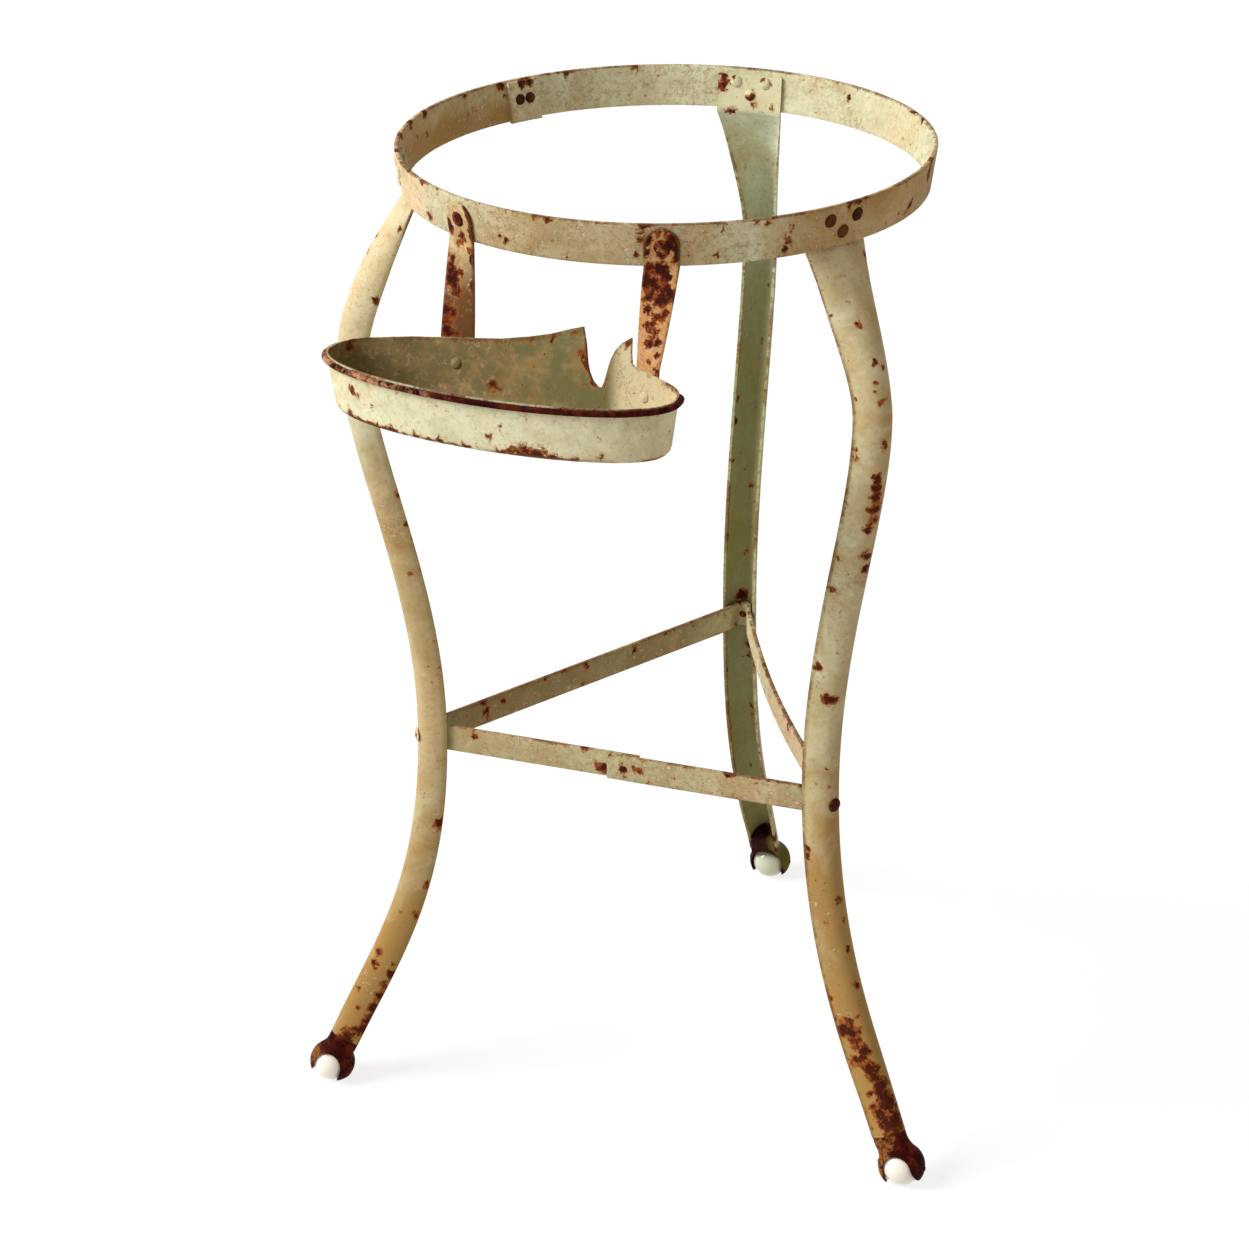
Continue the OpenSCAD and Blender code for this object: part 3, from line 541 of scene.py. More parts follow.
def mark_spots(obj, rows, flowing=False, size=1.0):
    """Stores how bare each point is: 1 in a spot, about half on its rim, 0 two radii away.

    Flowing spots run together where they are close.
    """
    mesh = obj.data
    co = np.empty(len(mesh.vertices) * 3)
    mesh.vertices.foreach_get("co", co)
    co = co.reshape(-1, 3) / MM
    co += [wander(Vector(c) * SPOT_WANDER_SCALE) * SPOT_WANDER for c in co]
    bare = np.zeros(len(co))
    for x, y, z, radius, strength in rows:
        far = np.linalg.norm(co - (x, y, z), axis=1) / (radius * size)
        if flowing:
            bare = 1 - (1 - bare) * (1 - strength * np.clip(1.1 - SPOT_FALL * far, 0, 1))
        else:
            bare = np.maximum(bare, strength * np.clip(1.25 - SPOT_FALL * far, 0, 1))
    keep_mark(obj, "spot", bare)


def unseen_spots(count, place, seed):
    """Scattered spots on a side that the photograph hides; `place` takes two shares."""
    rng = random.Random(seed)
    return tuple((*(place(rng.random(), rng.random()) / MM), rng.uniform(2.4, 3.8),
                  rng.uniform(0.75, 1.0)) for _ in range(count))


def hoop_back(along_turn, up):
    """A place just off the hoop's outside, on the far side from the photograph."""
    z = mix(HOOP_BOTTOM, STAND_H, up)
    return around(mix(95, 265, along_turn), 0, hoop_out(z) + 2.2, z)


def rear_leg_back(across, up):
    """A place just off the rear leg's rounded back, more often near the foot."""
    leg = LEGS["rear"]
    z = mix(36, 640, up ** 1.8)
    return around(turn_at(leg, z), mix(-10, 10, across), crown_reach(leg, z) + 2, z)


def mark_stain_and_shade(obj, stain):
    """Stores how deep the brown stain and any painted shade are at each point, from its place in
    millimetres.
    """
    keep_mark(obj, "stain", [stain(*(v.co / MM)) for v in obj.data.vertices])


# ---------------------------------------------------------------- legs

def leg_stations(leg, per_curve):
    """Points and directions down the crown of a leg, as reach and height."""
    tab_down = (-math.sin(STRIP_LEAN), -math.cos(STRIP_LEAN))
    crease = (hoop_in(HOOP_BOTTOM - 1) - SEAT, HOOP_BOTTOM - 1)
    run = math.sqrt(0.5)
    first = (crease[0] + CREASE_PULL * run, crease[1] - CREASE_PULL * run)
    end = (leg.reach + CROWN_OFFSET * ANKLE_OUT[0] - CUP_TOP * ANKLE_DOWN[0],
           BALL_R + CROWN_OFFSET * ANKLE_OUT[1] - CUP_TOP * ANKLE_DOWN[1])
    last = (end[0] - ANKLE_PULL * ANKLE_DOWN[0], end[1] - ANKLE_PULL * ANKLE_DOWN[1])
    upper = (crease, first, (KNEE[0], KNEE[1] + KNEE_PULL[0]), KNEE)
    middle = (KNEE, (KNEE[0], KNEE[1] - KNEE_PULL[1]),
              (WAIST[0], WAIST[1] + WAIST_PULL[0]), WAIST)
    lower = (WAIST, (WAIST[0], WAIST[1] - WAIST_PULL[1]), last, end)
    stations = [((hoop_in(z) - SEAT, z), tab_down)
                for z in (TAB_TOP, TAB_TOP - 0.5, 686, 680, 674, 669)]
    bend = Vector(tab_down) + Vector((run, -run))
    stations.append((crease, tuple(bend.normalized())))
    for curve in (upper, middle, lower):
        stations += [bezier(curve, i / per_curve) for i in range(1, per_curve + 1)]
    return stations


def turn_at(leg, z):
    """How far from the front the leg stands at a height; the legs are slightly twisted."""
    if z < WAIST[1]:
        return mix(leg.foot_turn, leg.middle_turn, eased((z - ANKLE_H) / (WAIST[1] - ANKLE_H)))
    return mix(leg.middle_turn, leg.tab_turn, eased((z - KNEE[1]) / (HOOP_BOTTOM - KNEE[1])))


def leg_section(z):
    """The channel's section at a height: (side, drop from the crown, 1 on the inner face)."""
    steps, neck_h = 26, 60
    flared = min(1.0, max(0.0, (HOOP_BOTTOM - z) / FLARE_H))
    width = (mix(ANKLE_W, LEG_W, eased((z - ANKLE_H) / neck_h))
             + (TAB_W - LEG_W) * (1 - flared) ** 1.5)
    curl = 1 - (1 - flared) ** 3
    points = []
    for a in half_turn(steps):
        x = -width / 2 * math.cos(a)
        drop = mix(-x * x / (2 * HOOP_R), -LEG_DEPTH * (1 - math.sin(a)), curl)
        points.append((x, drop, 0.0))
    for a in reversed(half_turn(steps)):
        x = -width / 2 * math.cos(a)
        side = mix(x, -(width / 2 - LEG_T) * math.cos(a), curl)
        drop = mix(-x * x / (2 * HOOP_R) - LEG_T,
                   mix(-LEG_DEPTH + LIP_STEP, -LEG_T, math.sin(a)), curl)
        points.append((side, drop, 1.0))
    return points


def add_leg(side, material):
    leg = LEGS[side]
    rings, hollow, edge = [], [], []
    for (reach, z), down in leg_stations(leg, 160):
        out = (-down[1], down[0])
        turn = turn_at(leg, z)
        section = leg_section(z)
        n = len(section)
        ring = []
        for i, (x, drop, inside) in enumerate(section):
            ring.append(around(turn, x, reach + drop * out[0], z + drop * out[1]))
            from_lip = min(i, abs(n / 2 - i), n - 1 - i)
            # The first points of the outer face take some of the hollow's tone and painted shade
            hollow.append(inside or 0.6 * (min(i, n // 2 - 1 - i) < 2))
            edge.append(eased(1 - from_lip / 4))
        rings.append(ring)
    obj = lofted("leg_%s_channel" % side, rings, marks={"hollow": hollow, "edge": edge})
    sharpen(obj, 50)
    hidden = unseen_spots(34, rear_leg_back, seed=11) if side == "rear" else ()
    mark_spots(obj, SPOTS["leg_" + side] + hidden, flowing=True)
    a = math.radians(leg.middle_turn)
    # Painted shade: the stain deepens across each leg towards its +X side
    lean = LEG_SHADE_SIDE[side] / LEG_W * 2
    mark_stain_and_shade(obj, lambda x, y, z: along(LEG_STAIN_AND_SHADE[side], z)
               + lean * (x * math.cos(a) + y * math.sin(a)))
    finish_piece(obj, "stand", material, "leg_" + side)


# ---------------------------------------------------------------- brace band

def crown_reach(leg, z):
    """How far from the axis a leg's crown is at a height."""
    best = min(leg_stations(leg, 120), key=lambda station: abs(station[0][1] - z))
    return best[0][0]


def hollow_depth(x):
    """How deep a channel is at a distance from its middle."""
    return (LEG_DEPTH - LEG_T) * math.sqrt(1 - (x / (LEG_W / 2 - LEG_T)) ** 2)


def band_out(leg):
    """How far out the band's outer face goes in a leg's channel."""
    return (crown_reach(leg, BAND_H) - LEG_DEPTH
            + hollow_depth(BAND_FLAT + BAND_T / 2) - 2 * SEAT)


def band_corner(leg):
    """The corners of the band's middle line in one leg's channel; they are rounded later."""
    turn = turn_at(leg, BAND_H)
    flat = band_out(leg) - BAND_T / 2
    mouth = crown_reach(leg, BAND_H) - LEG_DEPTH
    return [Vector(around(turn, x, r, 0)[:2]) / MM for x, r in
            ((-BAND_MOUTH, mouth), (-BAND_FLAT, flat), (BAND_FLAT, flat), (BAND_MOUTH, mouth))]


def softened(path, radius):
    """The path with its corners rounded; a bend takes less than half of either side."""
    steps = 5
    smooth = [path[0]]
    for before, here, after in zip(path, path[1:], path[2:]):
        r = min(radius, (before - here).length / 2.2, (after - here).length / 2.2)
        a = here + (before - here).normalized() * r
        b = here + (after - here).normalized() * r
        smooth += [a * (1 - t) ** 2 + here * 2 * t * (1 - t) + b * t * t
                   for t in (i / steps for i in range(steps + 1))]
    return smooth + [path[-1]]


def bowed(a, b, bow, steps):
    """Points between two others, bowed to the left of the line."""
    ahead = (b - a).normalized()
    side = Vector((-ahead.y, ahead.x))
    return [a.lerp(b, i / steps) + side * bow * math.sin(math.pi * i / steps)
            for i in range(1, steps)]


def band_section():
    """The band's section, eased at the corners: (across, up)."""
    t, h, round_by = BAND_T, BAND_W, 0.6
    section = []
    for sx, sz in ((1, 1), (-1, 1), (-1, -1), (1, -1)):
        c = Vector((sx * t / 2, sz * h / 2))
        first, second = ((0, -sz), (-sx, 0)) if sx * sz > 0 else ((-sx, 0), (0, -sz))
        section += [c + Vector(first) * round_by,
                    c + (Vector(first) + Vector(second)) * round_by * 0.3,
                    c + Vector(second) * round_by]
        if sx * sz < 0:
            section += [c + Vector((0, -sz)) * h * f for f in (0.3, 0.5, 0.7)]
    return section


def band_strip(name, path):
    """The band's strip along a line, with its bends rounded."""
    path = finer(softened(path, BAND_BEND), 2.5)
    section = band_section()
    rings = []
    for i, p in enumerate(path):
        before = path[max(0, i - 1)]
        after = path[min(len(path) - 1, i + 1)]
        ahead = (after - before).normalized()
        side = Vector((-ahead.y, ahead.x))
        rings.append([Vector((p.x + side.x * s[0], p.y + side.y * s[0], BAND_H + s[1])) * MM
                      for s in section])
    return lofted(name, rings)


def finer(path, step):
    """The path with its longer runs divided, to points about `step` apart."""
    out = [path[0]]
    for a, b in zip(path, path[1:]):
        count = max(1, int((b - a).length / step))
        out += [a.lerp(b, i / count) for i in range(1, count + 1)]
    return out


def band_stain(x, y, z):
    """The band's stain at a point: deepest on the left side, and some along the front."""
    left_side = eased((20 - x) / 60) * eased((y + 95) / 40)
    return 0.15 + 0.75 * left_side + 0.3 * eased((-60 - y) / 20)


def add_band(material):
    left, right, rear = (band_corner(leg) for leg in LEGS.values())
    mid = (left[3] + right[0]) / 2
    run = (right[0] - left[3]).normalized()
    out = Vector((run.y, -run.x))
    step = BAND_T / 2 - BAND_SINK
    outer = mid - run * BAND_LAP / 2 + out * step
    inner = mid + run * BAND_LAP / 2 - out * step
    long_path = ([outer, outer + run * BAND_LAP] + right
                 + bowed(right[3], rear[0], BAND_BOW, 12) + rear + left)
    short_path = [left[2], left[3], inner - run * BAND_LAP, inner]
    band = joined([band_strip("brace_band", long_path), band_strip("band_end", short_path)])
    sharpen(band)
    mark_edges(band, lambda p: BAND_W / 2 - abs(p.z / MM - BAND_H), BAND_WEAR)
    mark_spots(band, SPOTS["band"])
    mark_stain_and_shade(band, band_stain)
    finish_piece(band, "stand", material, "stretcher_band")


# ---------------------------------------------------------------- soap dish

# Rise of the dish's back edge over its rim: the raised back, the notch and the ear
BACK_EDGE = ((-118, 0), (-90, 1), (-60, 3), (-40, 5), (-20, 9), (-5, 13), (8, 18), (17, 21),
             (20, 10), (22, -1), (24, -7), (27, -12), (31, -15), (34, -15), (35.5, -11),
             (37, -3), (38.5, 4), (41, 10), (45, 15.5), (49, 18.5), (51.5, 20.5), (52.5, 11),
             (54, 4.5), (58, 1.5), (66, 1), (82, 0), (99, 0))
# How full the dish's plan is in front and behind; 2 is an ellipse
FRONT_POWER = 2.0
BACK_POWER = 2.4
DISH_BACK_RUN = 0.875  # the share of the half length where the back leaves the rounded ends


def oval(u, power, a, b):
    """A point of the dish's plan, at a share `u` of its half length."""
    return a * u, b * max(0.0, 1 - abs(u) ** power) ** (1 / power)


def slope_in(z):
    """How far the dish's wall leans in at a height over its foot."""
    return (DISH_H - z) * math.tan(DISH_TAPER)


def at_dish(x, y, z):
    """A point of the dish's own frame, x to the right, y to the back and z over the foot."""
    a = math.radians(RACK_TURN)
    px, py = x + DISH_SHIFT, y - DISH_REACH
    return Vector((px * math.cos(a) - py * math.sin(a), px * math.sin(a) + py * math.cos(a),
                   z + DISH_RIM_H - DISH_H)) * MM


def dish_stations():
    """Shares of the half length round the plan, front side then back side."""
    front = [(-math.cos(math.pi * i / 110), -1) for i in range(111)]
    end = [math.cos(math.pi * i / 150) for i in range(1, 24)]
    stops = sorted({(x - DISH_SHIFT) / DISH_HALF_LEN for x, _ in BACK_EDGE[1:-1]}
                   | {(x / 2 - DISH_SHIFT) / DISH_HALF_LEN for x in range(-200, 170, 3)})
    stops = [u for u in reversed(stops) if abs(u) < DISH_BACK_RUN]
    return front + [(u, 1) for u in end + stops + [-u for u in reversed(end)]]


def dish_profile():
    """Rows up the wall's outer face and down its inner one.

    Each is (inset from the plan, height, share of the way up a raised back).
    """
    foot, t = DISH_FOOT, DISH_T
    outer = [(foot + DISH_FLOOR, 0, 0), (foot, 0, 0), (foot * 0.6, foot * 0.08, 0),
             (foot * 0.3, foot * 0.3, 0), (foot * 0.08, foot * 0.6, 0), (0, foot, 0)]
    outer += [(0, mix(foot, DISH_H, share), share)
              for share in (0.12, 0.24, 0.36, 0.48, 0.6, 0.72, 0.84, 0.94, 1.0)]
    inner = [(t, z, share) for _, z, share in reversed(outer[5:])]
    inner += [(t + foot * 0.1, t + foot * 0.5, 0), (t + foot * 0.35, t + foot * 0.2, 0),
              (t + foot, t, 0), (t + foot + DISH_FLOOR, t, 0)]
    return outer, inner


def add_dish(material):
    stations = dish_stations()
    outer, inner = dish_profile()
    rings, hollow, edge = [], [], []
    for k, (inset, z, share) in enumerate(outer + inner):
        ring = []
        for u, side in stations:
            rise = along(BACK_EDGE, u * DISH_HALF_LEN + DISH_SHIFT) * share if side > 0 else 0.0
            height = z + rise
            power = FRONT_POWER if side < 0 else BACK_POWER
            shrink = inset + slope_in(height)
            x, y = oval(u, power, DISH_HALF_LEN - shrink, DISH_HALF_WIDE - shrink)
            ring.append(at_dish(x, side * y, height))
            hollow.append(1.0 if k >= len(outer) else 0.0)
            edge.append(eased((share - 0.8) / 0.2) if share else eased((6 - z) / 4))
        rings.append(ring)
    obj = lofted("soap_dish_shell", rings, marks={"hollow": hollow, "edge": edge})
    sharpen(obj, 50)
    mark_spots(obj, SPOTS["soap_dish"], size=0.92)
    mark_stain_and_shade(obj, lambda x, y, z: 0.25 * eased((x + 20) / 60) + 0.2 * eased((575 - z) / 12))
    finish_piece(obj, "stand", material, "soap_dish")


def add_rim_wire(material):
    """The bead round the dish's front and ends, seated on the wall and thinner at its ends."""
    steps, sides, ending = 200, 14, 12
    height = DISH_H - 0.5 - WIRE_R
    rings = []
    for i in range(steps + 1):
        a = math.radians(mix(155, 385, i / steps))
        c, s = math.cos(a), math.sin(a)
        power = FRONT_POWER if s < 0 else BACK_POWER
        k = (abs(c) ** power + abs(s) ** power) ** (-1 / power)
        out = Vector((c * DISH_HALF_WIDE, s * DISH_HALF_LEN)).normalized()
        thin = mix(0.3, 1.0, eased(min(i, steps - i) / ending))
        mid = Vector((k * c * DISH_HALF_LEN, k * s * DISH_HALF_WIDE))
        mid += out * (WIRE_R * WIRE_SEAT * thin - slope_in(height))
        ring = []
        for j in range(sides):
            q = 2 * math.pi * j / sides
            r = WIRE_R * thin * (0.98 - 0.07 * noise.noise(Vector((i * 0.31, j * 0.9, 4))))
            ring.append(at_dish(mid.x + out.x * r * math.cos(q), mid.y + out.y * r * math.cos(q),
                                height + r * math.sin(q)))
        rings.append(ring)
    wire = lofted("dish_rim_bead", rings)
    keep_mark(wire, "dust_and_shade", [eased((-10 - v.co.x / MM) / 90) for v in wire.data.vertices])
    finish_piece(wire, "stand", material, "dish_rim_wire")


# ---------------------------------------------------------------- hangers

HANGER_X = {-1: -HOOP_R * math.sin(math.radians(HANGER_SPREAD)),
            1: HOOP_R * math.sin(math.radians(HANGER_SPREAD)) - RIGHT_HANGER_IN}


def back_face(x, z):
    """How far back the outside of the dish's back is, at a height over the foot."""
    shrink = slope_in(z)
    u = (x - DISH_SHIFT) / (DISH_HALF_LEN - shrink)
    return oval(u, BACK_POWER, DISH_HALF_LEN - shrink, DISH_HALF_WIDE - shrink)[1]


def back_facing(x):
    """Which way the dish's back faces, in degrees from straight back."""
    return math.degrees(math.atan2(back_face(x - 0.5, DISH_H) - back_face(x + 0.5, DISH_H), 1))


def hoop_slice(side, z, half):
    """A hanger's place on the hoop at a height, its turn and its half width."""
    turn = side * HANGER_SPREAD
    r = hoop_out(z) + SEAT
    a = math.radians(turn)
    return [Vector((r * math.sin(a), -r * math.cos(a), z)), turn, half]


def back_slice(side, z, half):
    """The same on the dish's back."""
    x = HANGER_X[side]
    facing = -back_facing(x)
    y = back_face(x, z - DISH_RIM_H + DISH_H) - DISH_REACH + HANGER_T + SEAT
    f = math.radians(facing)
    off = HANGER_T + SEAT
    return [Vector((x - off * math.sin(f), y - off * (1 - math.cos(f)), z)), facing, half]


def hanger_slices(side):
    """Slices down a hanger: its round top, the free run and its foot behind the dish."""
    r, foot = HANGER_W / 2, HANGER_FOOT[side] / 2
    top = hoop_slice(side, HOOP_BOTTOM, r)
    low = back_slice(side, DISH_RIM_H + 4, foot)
    slices = [hoop_slice(side, MID_STRIP + r * math.sin(a), max(0.5, r * math.cos(a)))
              for a in (math.radians(86 - 86 * i / 14) for i in range(15))]
    slices += [hoop_slice(side, z, r) for z in (676, 672)] + [top]
    for i in range(1, 40):
        t = eased(i / 40)
        slices.append([top[0].lerp(low[0], t), mix(top[1], low[1], t), mix(r, foot, t)])
    return slices + [low] + [back_slice(side, z, foot)
                             for z in (598, 590, 582, DISH_RIM_H - HANGER_LAP)]


def add_hanger(side, name, node, material):
    turn = Matrix.Rotation(math.radians(RACK_TURN), 3, "Z")
    # Shares of the half width across a slice, and how far each point is off its back
    across = [-1, -0.94, -0.8, -0.6, -0.4, -0.2, 0, 0.2, 0.4, 0.6, 0.8, 0.94, 1]
    section = [(s, HANGER_EASE if abs(s) == 1 else 0) for s in across]
    section += [(s, HANGER_T - ease) for s, ease in reversed(section)]
    rings, edge = [], []
    for p, facing, half in hanger_slices(side):
        f = math.radians(facing)
        wide = Vector((math.cos(f), math.sin(f), 0))
        out = Vector((math.sin(f), -math.cos(f), 0))
        ring = []
        for s, depth in section:
            ring.append(turn @ (p + wide * half * s + out * depth) * MM)
            edge.append(eased((abs(s) - 0.55) / 0.45))
        rings.append(ring)
    obj = lofted(name, rings, marks={"edge": edge})
    sharpen(obj, 45)
    mark_spots(obj, SPOTS[node])
    mark_stain_and_shade(obj, lambda x, y, z: along(HANGER_STAIN[node], z))
    finish_piece(obj, "stand", material, node)


# ---------------------------------------------------------------- feet

def ball_spot(leg):
    """The middle of a leg's ball."""
    a = math.radians(leg.foot_turn)
    return Vector((leg.reach * math.sin(a), -leg.reach * math.cos(a), BALL_R))


def lathed(name, profile, steps, closed=False):
    """A turned shape about Z from (radius, height) points, in millimetres."""
    rings = [[Vector((r * math.cos(q), r * math.sin(q), z)) * MM
              for q in (2 * math.pi * i / steps for i in range(steps))] for r, z in profile]
    return lofted(name, rings, closed)


def placed(obj, matrix):
    """The object with its points moved by a matrix; its own place stays at the origin."""
    obj.data.transform(matrix)
    obj.data.update()
    return obj


def on_axle(obj, side):
    """Lays a turned shape along a ball's axle."""
    centre = Matrix.Translation(ball_spot(LEGS[side]) * MM)
    return placed(obj, centre @ Matrix.Rotation(math.pi / 2, 4, "Y"))


def cut_away(obj, tools):
    """Takes the tools' shapes out of the object and removes the tools."""
    for tool in tools:
        cut = obj.modifiers.new("cut", "BOOLEAN")
        cut.operation = "DIFFERENCE"
        cut.solver = "EXACT"
        cut.object = tool
    bpy.context.view_layer.update()
    applied(obj)
    for tool in tools:
        remove_object(tool)


def box_block(name, low, high):
    """A box between two corners, in millimetres."""
    corners = [Vector((x, y, z)) * MM for z in (low[2], high[2])
               for x, y in ((low[0], low[1]), (high[0], low[1]), (high[0], high[1]),
                            (low[0], high[1]))]
    return new_mesh(name, corners, [(0, 3, 2, 1), (4, 5, 6, 7), (0, 1, 5, 4), (1, 2, 6, 5),
                                    (2, 3, 7, 6), (3, 0, 4, 7)])


def arch_block(leg, mouth):
    """The arch through a cup, leaning sideways with the leg; `mouth` widens its front end."""
    lean = -math.atan(math.sin(math.radians(leg.foot_turn)) * math.tan(ANKLE_SPLAY))
    below = -34
    rings = []
    for y, wider in ((-50, mouth), (-13, mouth), (-2, 0), (50, 0)):
        half = ARCH_W / 2 + wider
        low = ARCH_RISE - ARCH_W / 2
        outline = [(-half, below), (half, below)]
        outline += [(half * math.cos(q), low + half * math.sin(q)) for q in half_turn(36)]
        rings.append([Vector((x, y, z)) * MM for x, z in outline])
    return placed(lofted("arch", rings), Matrix.Rotation(lean, 4, "Y"))


def channel_reach(q):
    """How far the channel's outline lies from the cup's axis, in a direction round it."""
    c, s = math.cos(q), math.sin(q)
    a, b, lip = ANKLE_W / 2, LEG_DEPTH, LEG_DEPTH - CROWN_OFFSET
    square, cross = (c / a) ** 2 + (s / b) ** 2, lip * s / b ** 2
    reach = (cross + math.sqrt(cross ** 2 - square * ((lip / b) ** 2 - 1))) / square
    return min(reach, lip / s) if s > 0 else reach


def fit_neck(cup):
    """Draws the neck out to the channel's outline, so that the leg runs on into the cup."""
    start, heart = 7, 5
    for v in cup.data.vertices:
        x, y, z = v.co / MM
        if z > start and math.hypot(x, y) > heart:
            t = eased((z - start) / (CUP_TOP - 10))
            grow = mix(1, channel_reach(math.atan2(y, x)) / (ANKLE_W / 2), t)
            v.co.x, v.co.y = v.co.x * grow, v.co.y * grow


def cup_profile(top):
    """A sphere below, easing into a bell and the neck under the leg's end."""
    profile = [(NEEDLE, -CUP_OUT)]
    profile += [(CUP_OUT * math.cos(math.radians(q)), CUP_OUT * math.sin(math.radians(q)))
                for q in range(-84, 31, 3)]
    wide, low = profile[-1]
    neck = ANKLE_W / 2 - SEAT
    bell = ((wide, low), (wide - 2.6, low + 4.2), (neck, low + 6), (neck, top - 4))
    profile += [bezier(bell, i / 12)[0] for i in range(1, 13)]
    return profile + [(neck, top - 0.4), (neck - 0.4, top), (NEEDLE, top)]


def add_tongue(top):
    """The half-oval tongue that holds a cup in its leg's channel."""
    half, deep = ANKLE_W / 2 - LEG_T - TONGUE_GAP, LEG_DEPTH - LEG_T - TONGUE_GAP
    outline = [(math.cos(q) * half, -math.sin(q) * deep) for q in half_turn(24)]
    return lofted("tongue", [[Vector((x, y + LEG_DEPTH - CROWN_OFFSET, z)) * MM
                              for x, y in outline] for z in (top - 0.5, top + TONGUE_LEN)])


def add_cup(side, material):
    leg = LEGS[side]
    middle = ball_spot(leg)
    centre = Matrix.Translation(middle * MM)
    ankle = (Matrix.Rotation(math.radians(leg.foot_turn), 4, "Z")
             @ Matrix.Rotation(-ANKLE_SPLAY, 4, "X"))
    top = CUP_TOP - SEAT
    cup = lathed("ball_cup_" + side + "_casting", cup_profile(top), 96)
    fit_neck(cup)
    joined([cup, add_tongue(top)])
    placed(cup, centre @ ankle)
    room = lathed("room", [(max(NEEDLE, CUP_IN * math.sin(q)), -CUP_IN * math.cos(q))
                           for q in half_turn(48)], 96)
    arch = arch_block(leg, REAR_MOUTH if side == "rear" else 0)
    floor_cut = box_block("floor_cut", (-40, -40, -60), (40, 40, CHEEK_CLEAR - BALL_R))
    cut_away(cup, [placed(tool, centre) for tool in (room, arch, floor_cut)])
    tidy_normals(cup)
    sharpen(cup, 35)
    # On the rear cup the mark also lays painted shade: dark rust on its left, front and low faces
    dust_and_shade = Vector((1.3, 0.45, 0.5)) / 16 if side == "rear" else Vector((-0.95, -0.32, 0.15)) / 13
    keep_mark(cup, "dust_and_shade", [eased((v.co / MM - middle).dot(dust_and_shade)) for v in cup.data.vertices])
    finish_piece(cup, "stand", material, "ball_cup_" + side)


def add_ball(side, material):
    bore = AXLE_R + AXLE_GAP
    start = math.asin(bore / BALL_R)
    profile = [(BALL_R * math.sin(q), BALL_R * math.cos(q)) for q in
               (mix(start, math.pi - start, i / 60) for i in range(61))]
    profile += [(bore, z) for z in (-8, 0, 8)]
    ball = on_axle(lathed("porcelain_ball_" + side, profile, 96, closed=True), side)
    sharpen(ball, 50)
    finish_piece(ball, side + "_ball", material, "ball_" + side)


def add_pin(side, material):
    half = CUP_OUT + 0.5
    profile = [(0.1, -half), (1.2, -half), (AXLE_R, -half + 0.7), (AXLE_R, half - 0.7),
               (1.2, half), (0.1, half)]
    pin = on_axle(lathed("axle_%s_pin" % side, profile, 32), side)
    sharpen(pin, 30)
    finish_piece(pin, "stand", material, "axle_pin_" + side)


# ---------------------------------------------------------------- rivets, by geometry nodes

def rivet_tree():
    """A tree that sets a domed head on every point, turned along the point's `aim`."""
    tree = bpy.data.node_groups.new("rivets on points", "GeometryNodeTree")
    face = tree.interface
    face.new_socket("Geometry", in_out="INPUT", socket_type="NodeSocketGeometry")
    head = face.new_socket("Head Radius", in_out="INPUT", socket_type="NodeSocketFloat")
    rise = face.new_socket("Head Height", in_out="INPUT", socket_type="NodeSocketFloat")
    finish = face.new_socket("Finish", in_out="INPUT", socket_type="NodeSocketMaterial")
    face.new_socket("Geometry", in_out="OUTPUT", socket_type="NodeSocketGeometry")
    head.default_value, rise.default_value = 0.0045, 0.0018
    add = tree.nodes.new
    link = tree.links.new
    inputs, outputs = add("NodeGroupInput"), add("NodeGroupOutput")
    dome = add("GeometryNodeMeshUVSphere")
    dome.inputs["Segments"].default_value = 28
    dome.inputs["Rings"].default_value = 16
    dome.inputs["Radius"].default_value = 1.0
    flat = add("GeometryNodeSetPosition")
    position = add("GeometryNodeInputPosition")
    split = add("ShaderNodeSeparateXYZ")
    lift = add("ShaderNodeMath")
    lift.operation = "MAXIMUM"
    lift.inputs[1].default_value = 0.0
    join_up = add("ShaderNodeCombineXYZ")
    link(dome.outputs["Mesh"], flat.inputs["Geometry"])
    link(position.outputs[0], split.inputs[0])
    link(split.outputs["X"], join_up.inputs["X"])
    link(split.outputs["Y"], join_up.inputs["Y"])
    link(split.outputs["Z"], lift.inputs[0])
    link(lift.outputs[0], join_up.inputs["Z"])
    link(join_up.outputs[0], flat.inputs["Position"])
    size = add("ShaderNodeCombineXYZ")
    link(inputs.outputs["Head Radius"], size.inputs["X"])
    link(inputs.outputs["Head Radius"], size.inputs["Y"])
    link(inputs.outputs["Head Height"], size.inputs["Z"])
    shape = add("GeometryNodeTransform")
    link(flat.outputs[0], shape.inputs["Geometry"])
    link(size.outputs[0], shape.inputs["Scale"])
    aim = add("GeometryNodeInputNamedAttribute")
    aim.data_type = "FLOAT_VECTOR"
    aim.inputs["Name"].default_value = "aim"
    turn = add("FunctionNodeAlignRotationToVector")
    turn.axis = "Z"
    link(aim.outputs["Attribute"], turn.inputs["Vector"])
    on_points = add("GeometryNodeInstanceOnPoints")
    link(inputs.outputs["Geometry"], on_points.inputs["Points"])
    link(shape.outputs[0], on_points.inputs["Instance"])
    link(turn.outputs[0], on_points.inputs["Rotation"])
    real = add("GeometryNodeRealizeInstances")
    link(on_points.outputs[0], real.inputs[0])
    merge = add("GeometryNodeMergeByDistance")
    merge.inputs["Distance"].default_value = 1e-6
    link(real.outputs[0], merge.inputs["Geometry"])
    smooth = add("GeometryNodeSetShadeSmooth")
    link(merge.outputs[0], smooth.inputs["Geometry"])
    paint = add("GeometryNodeSetMaterial")
    link(smooth.outputs[0], paint.inputs["Geometry"])
    link(inputs.outputs["Finish"], paint.inputs["Material"])
    link(paint.outputs[0], outputs.inputs[0])
    return tree, {"head": head.identifier, "rise": rise.identifier, "finish": finish.identifier}


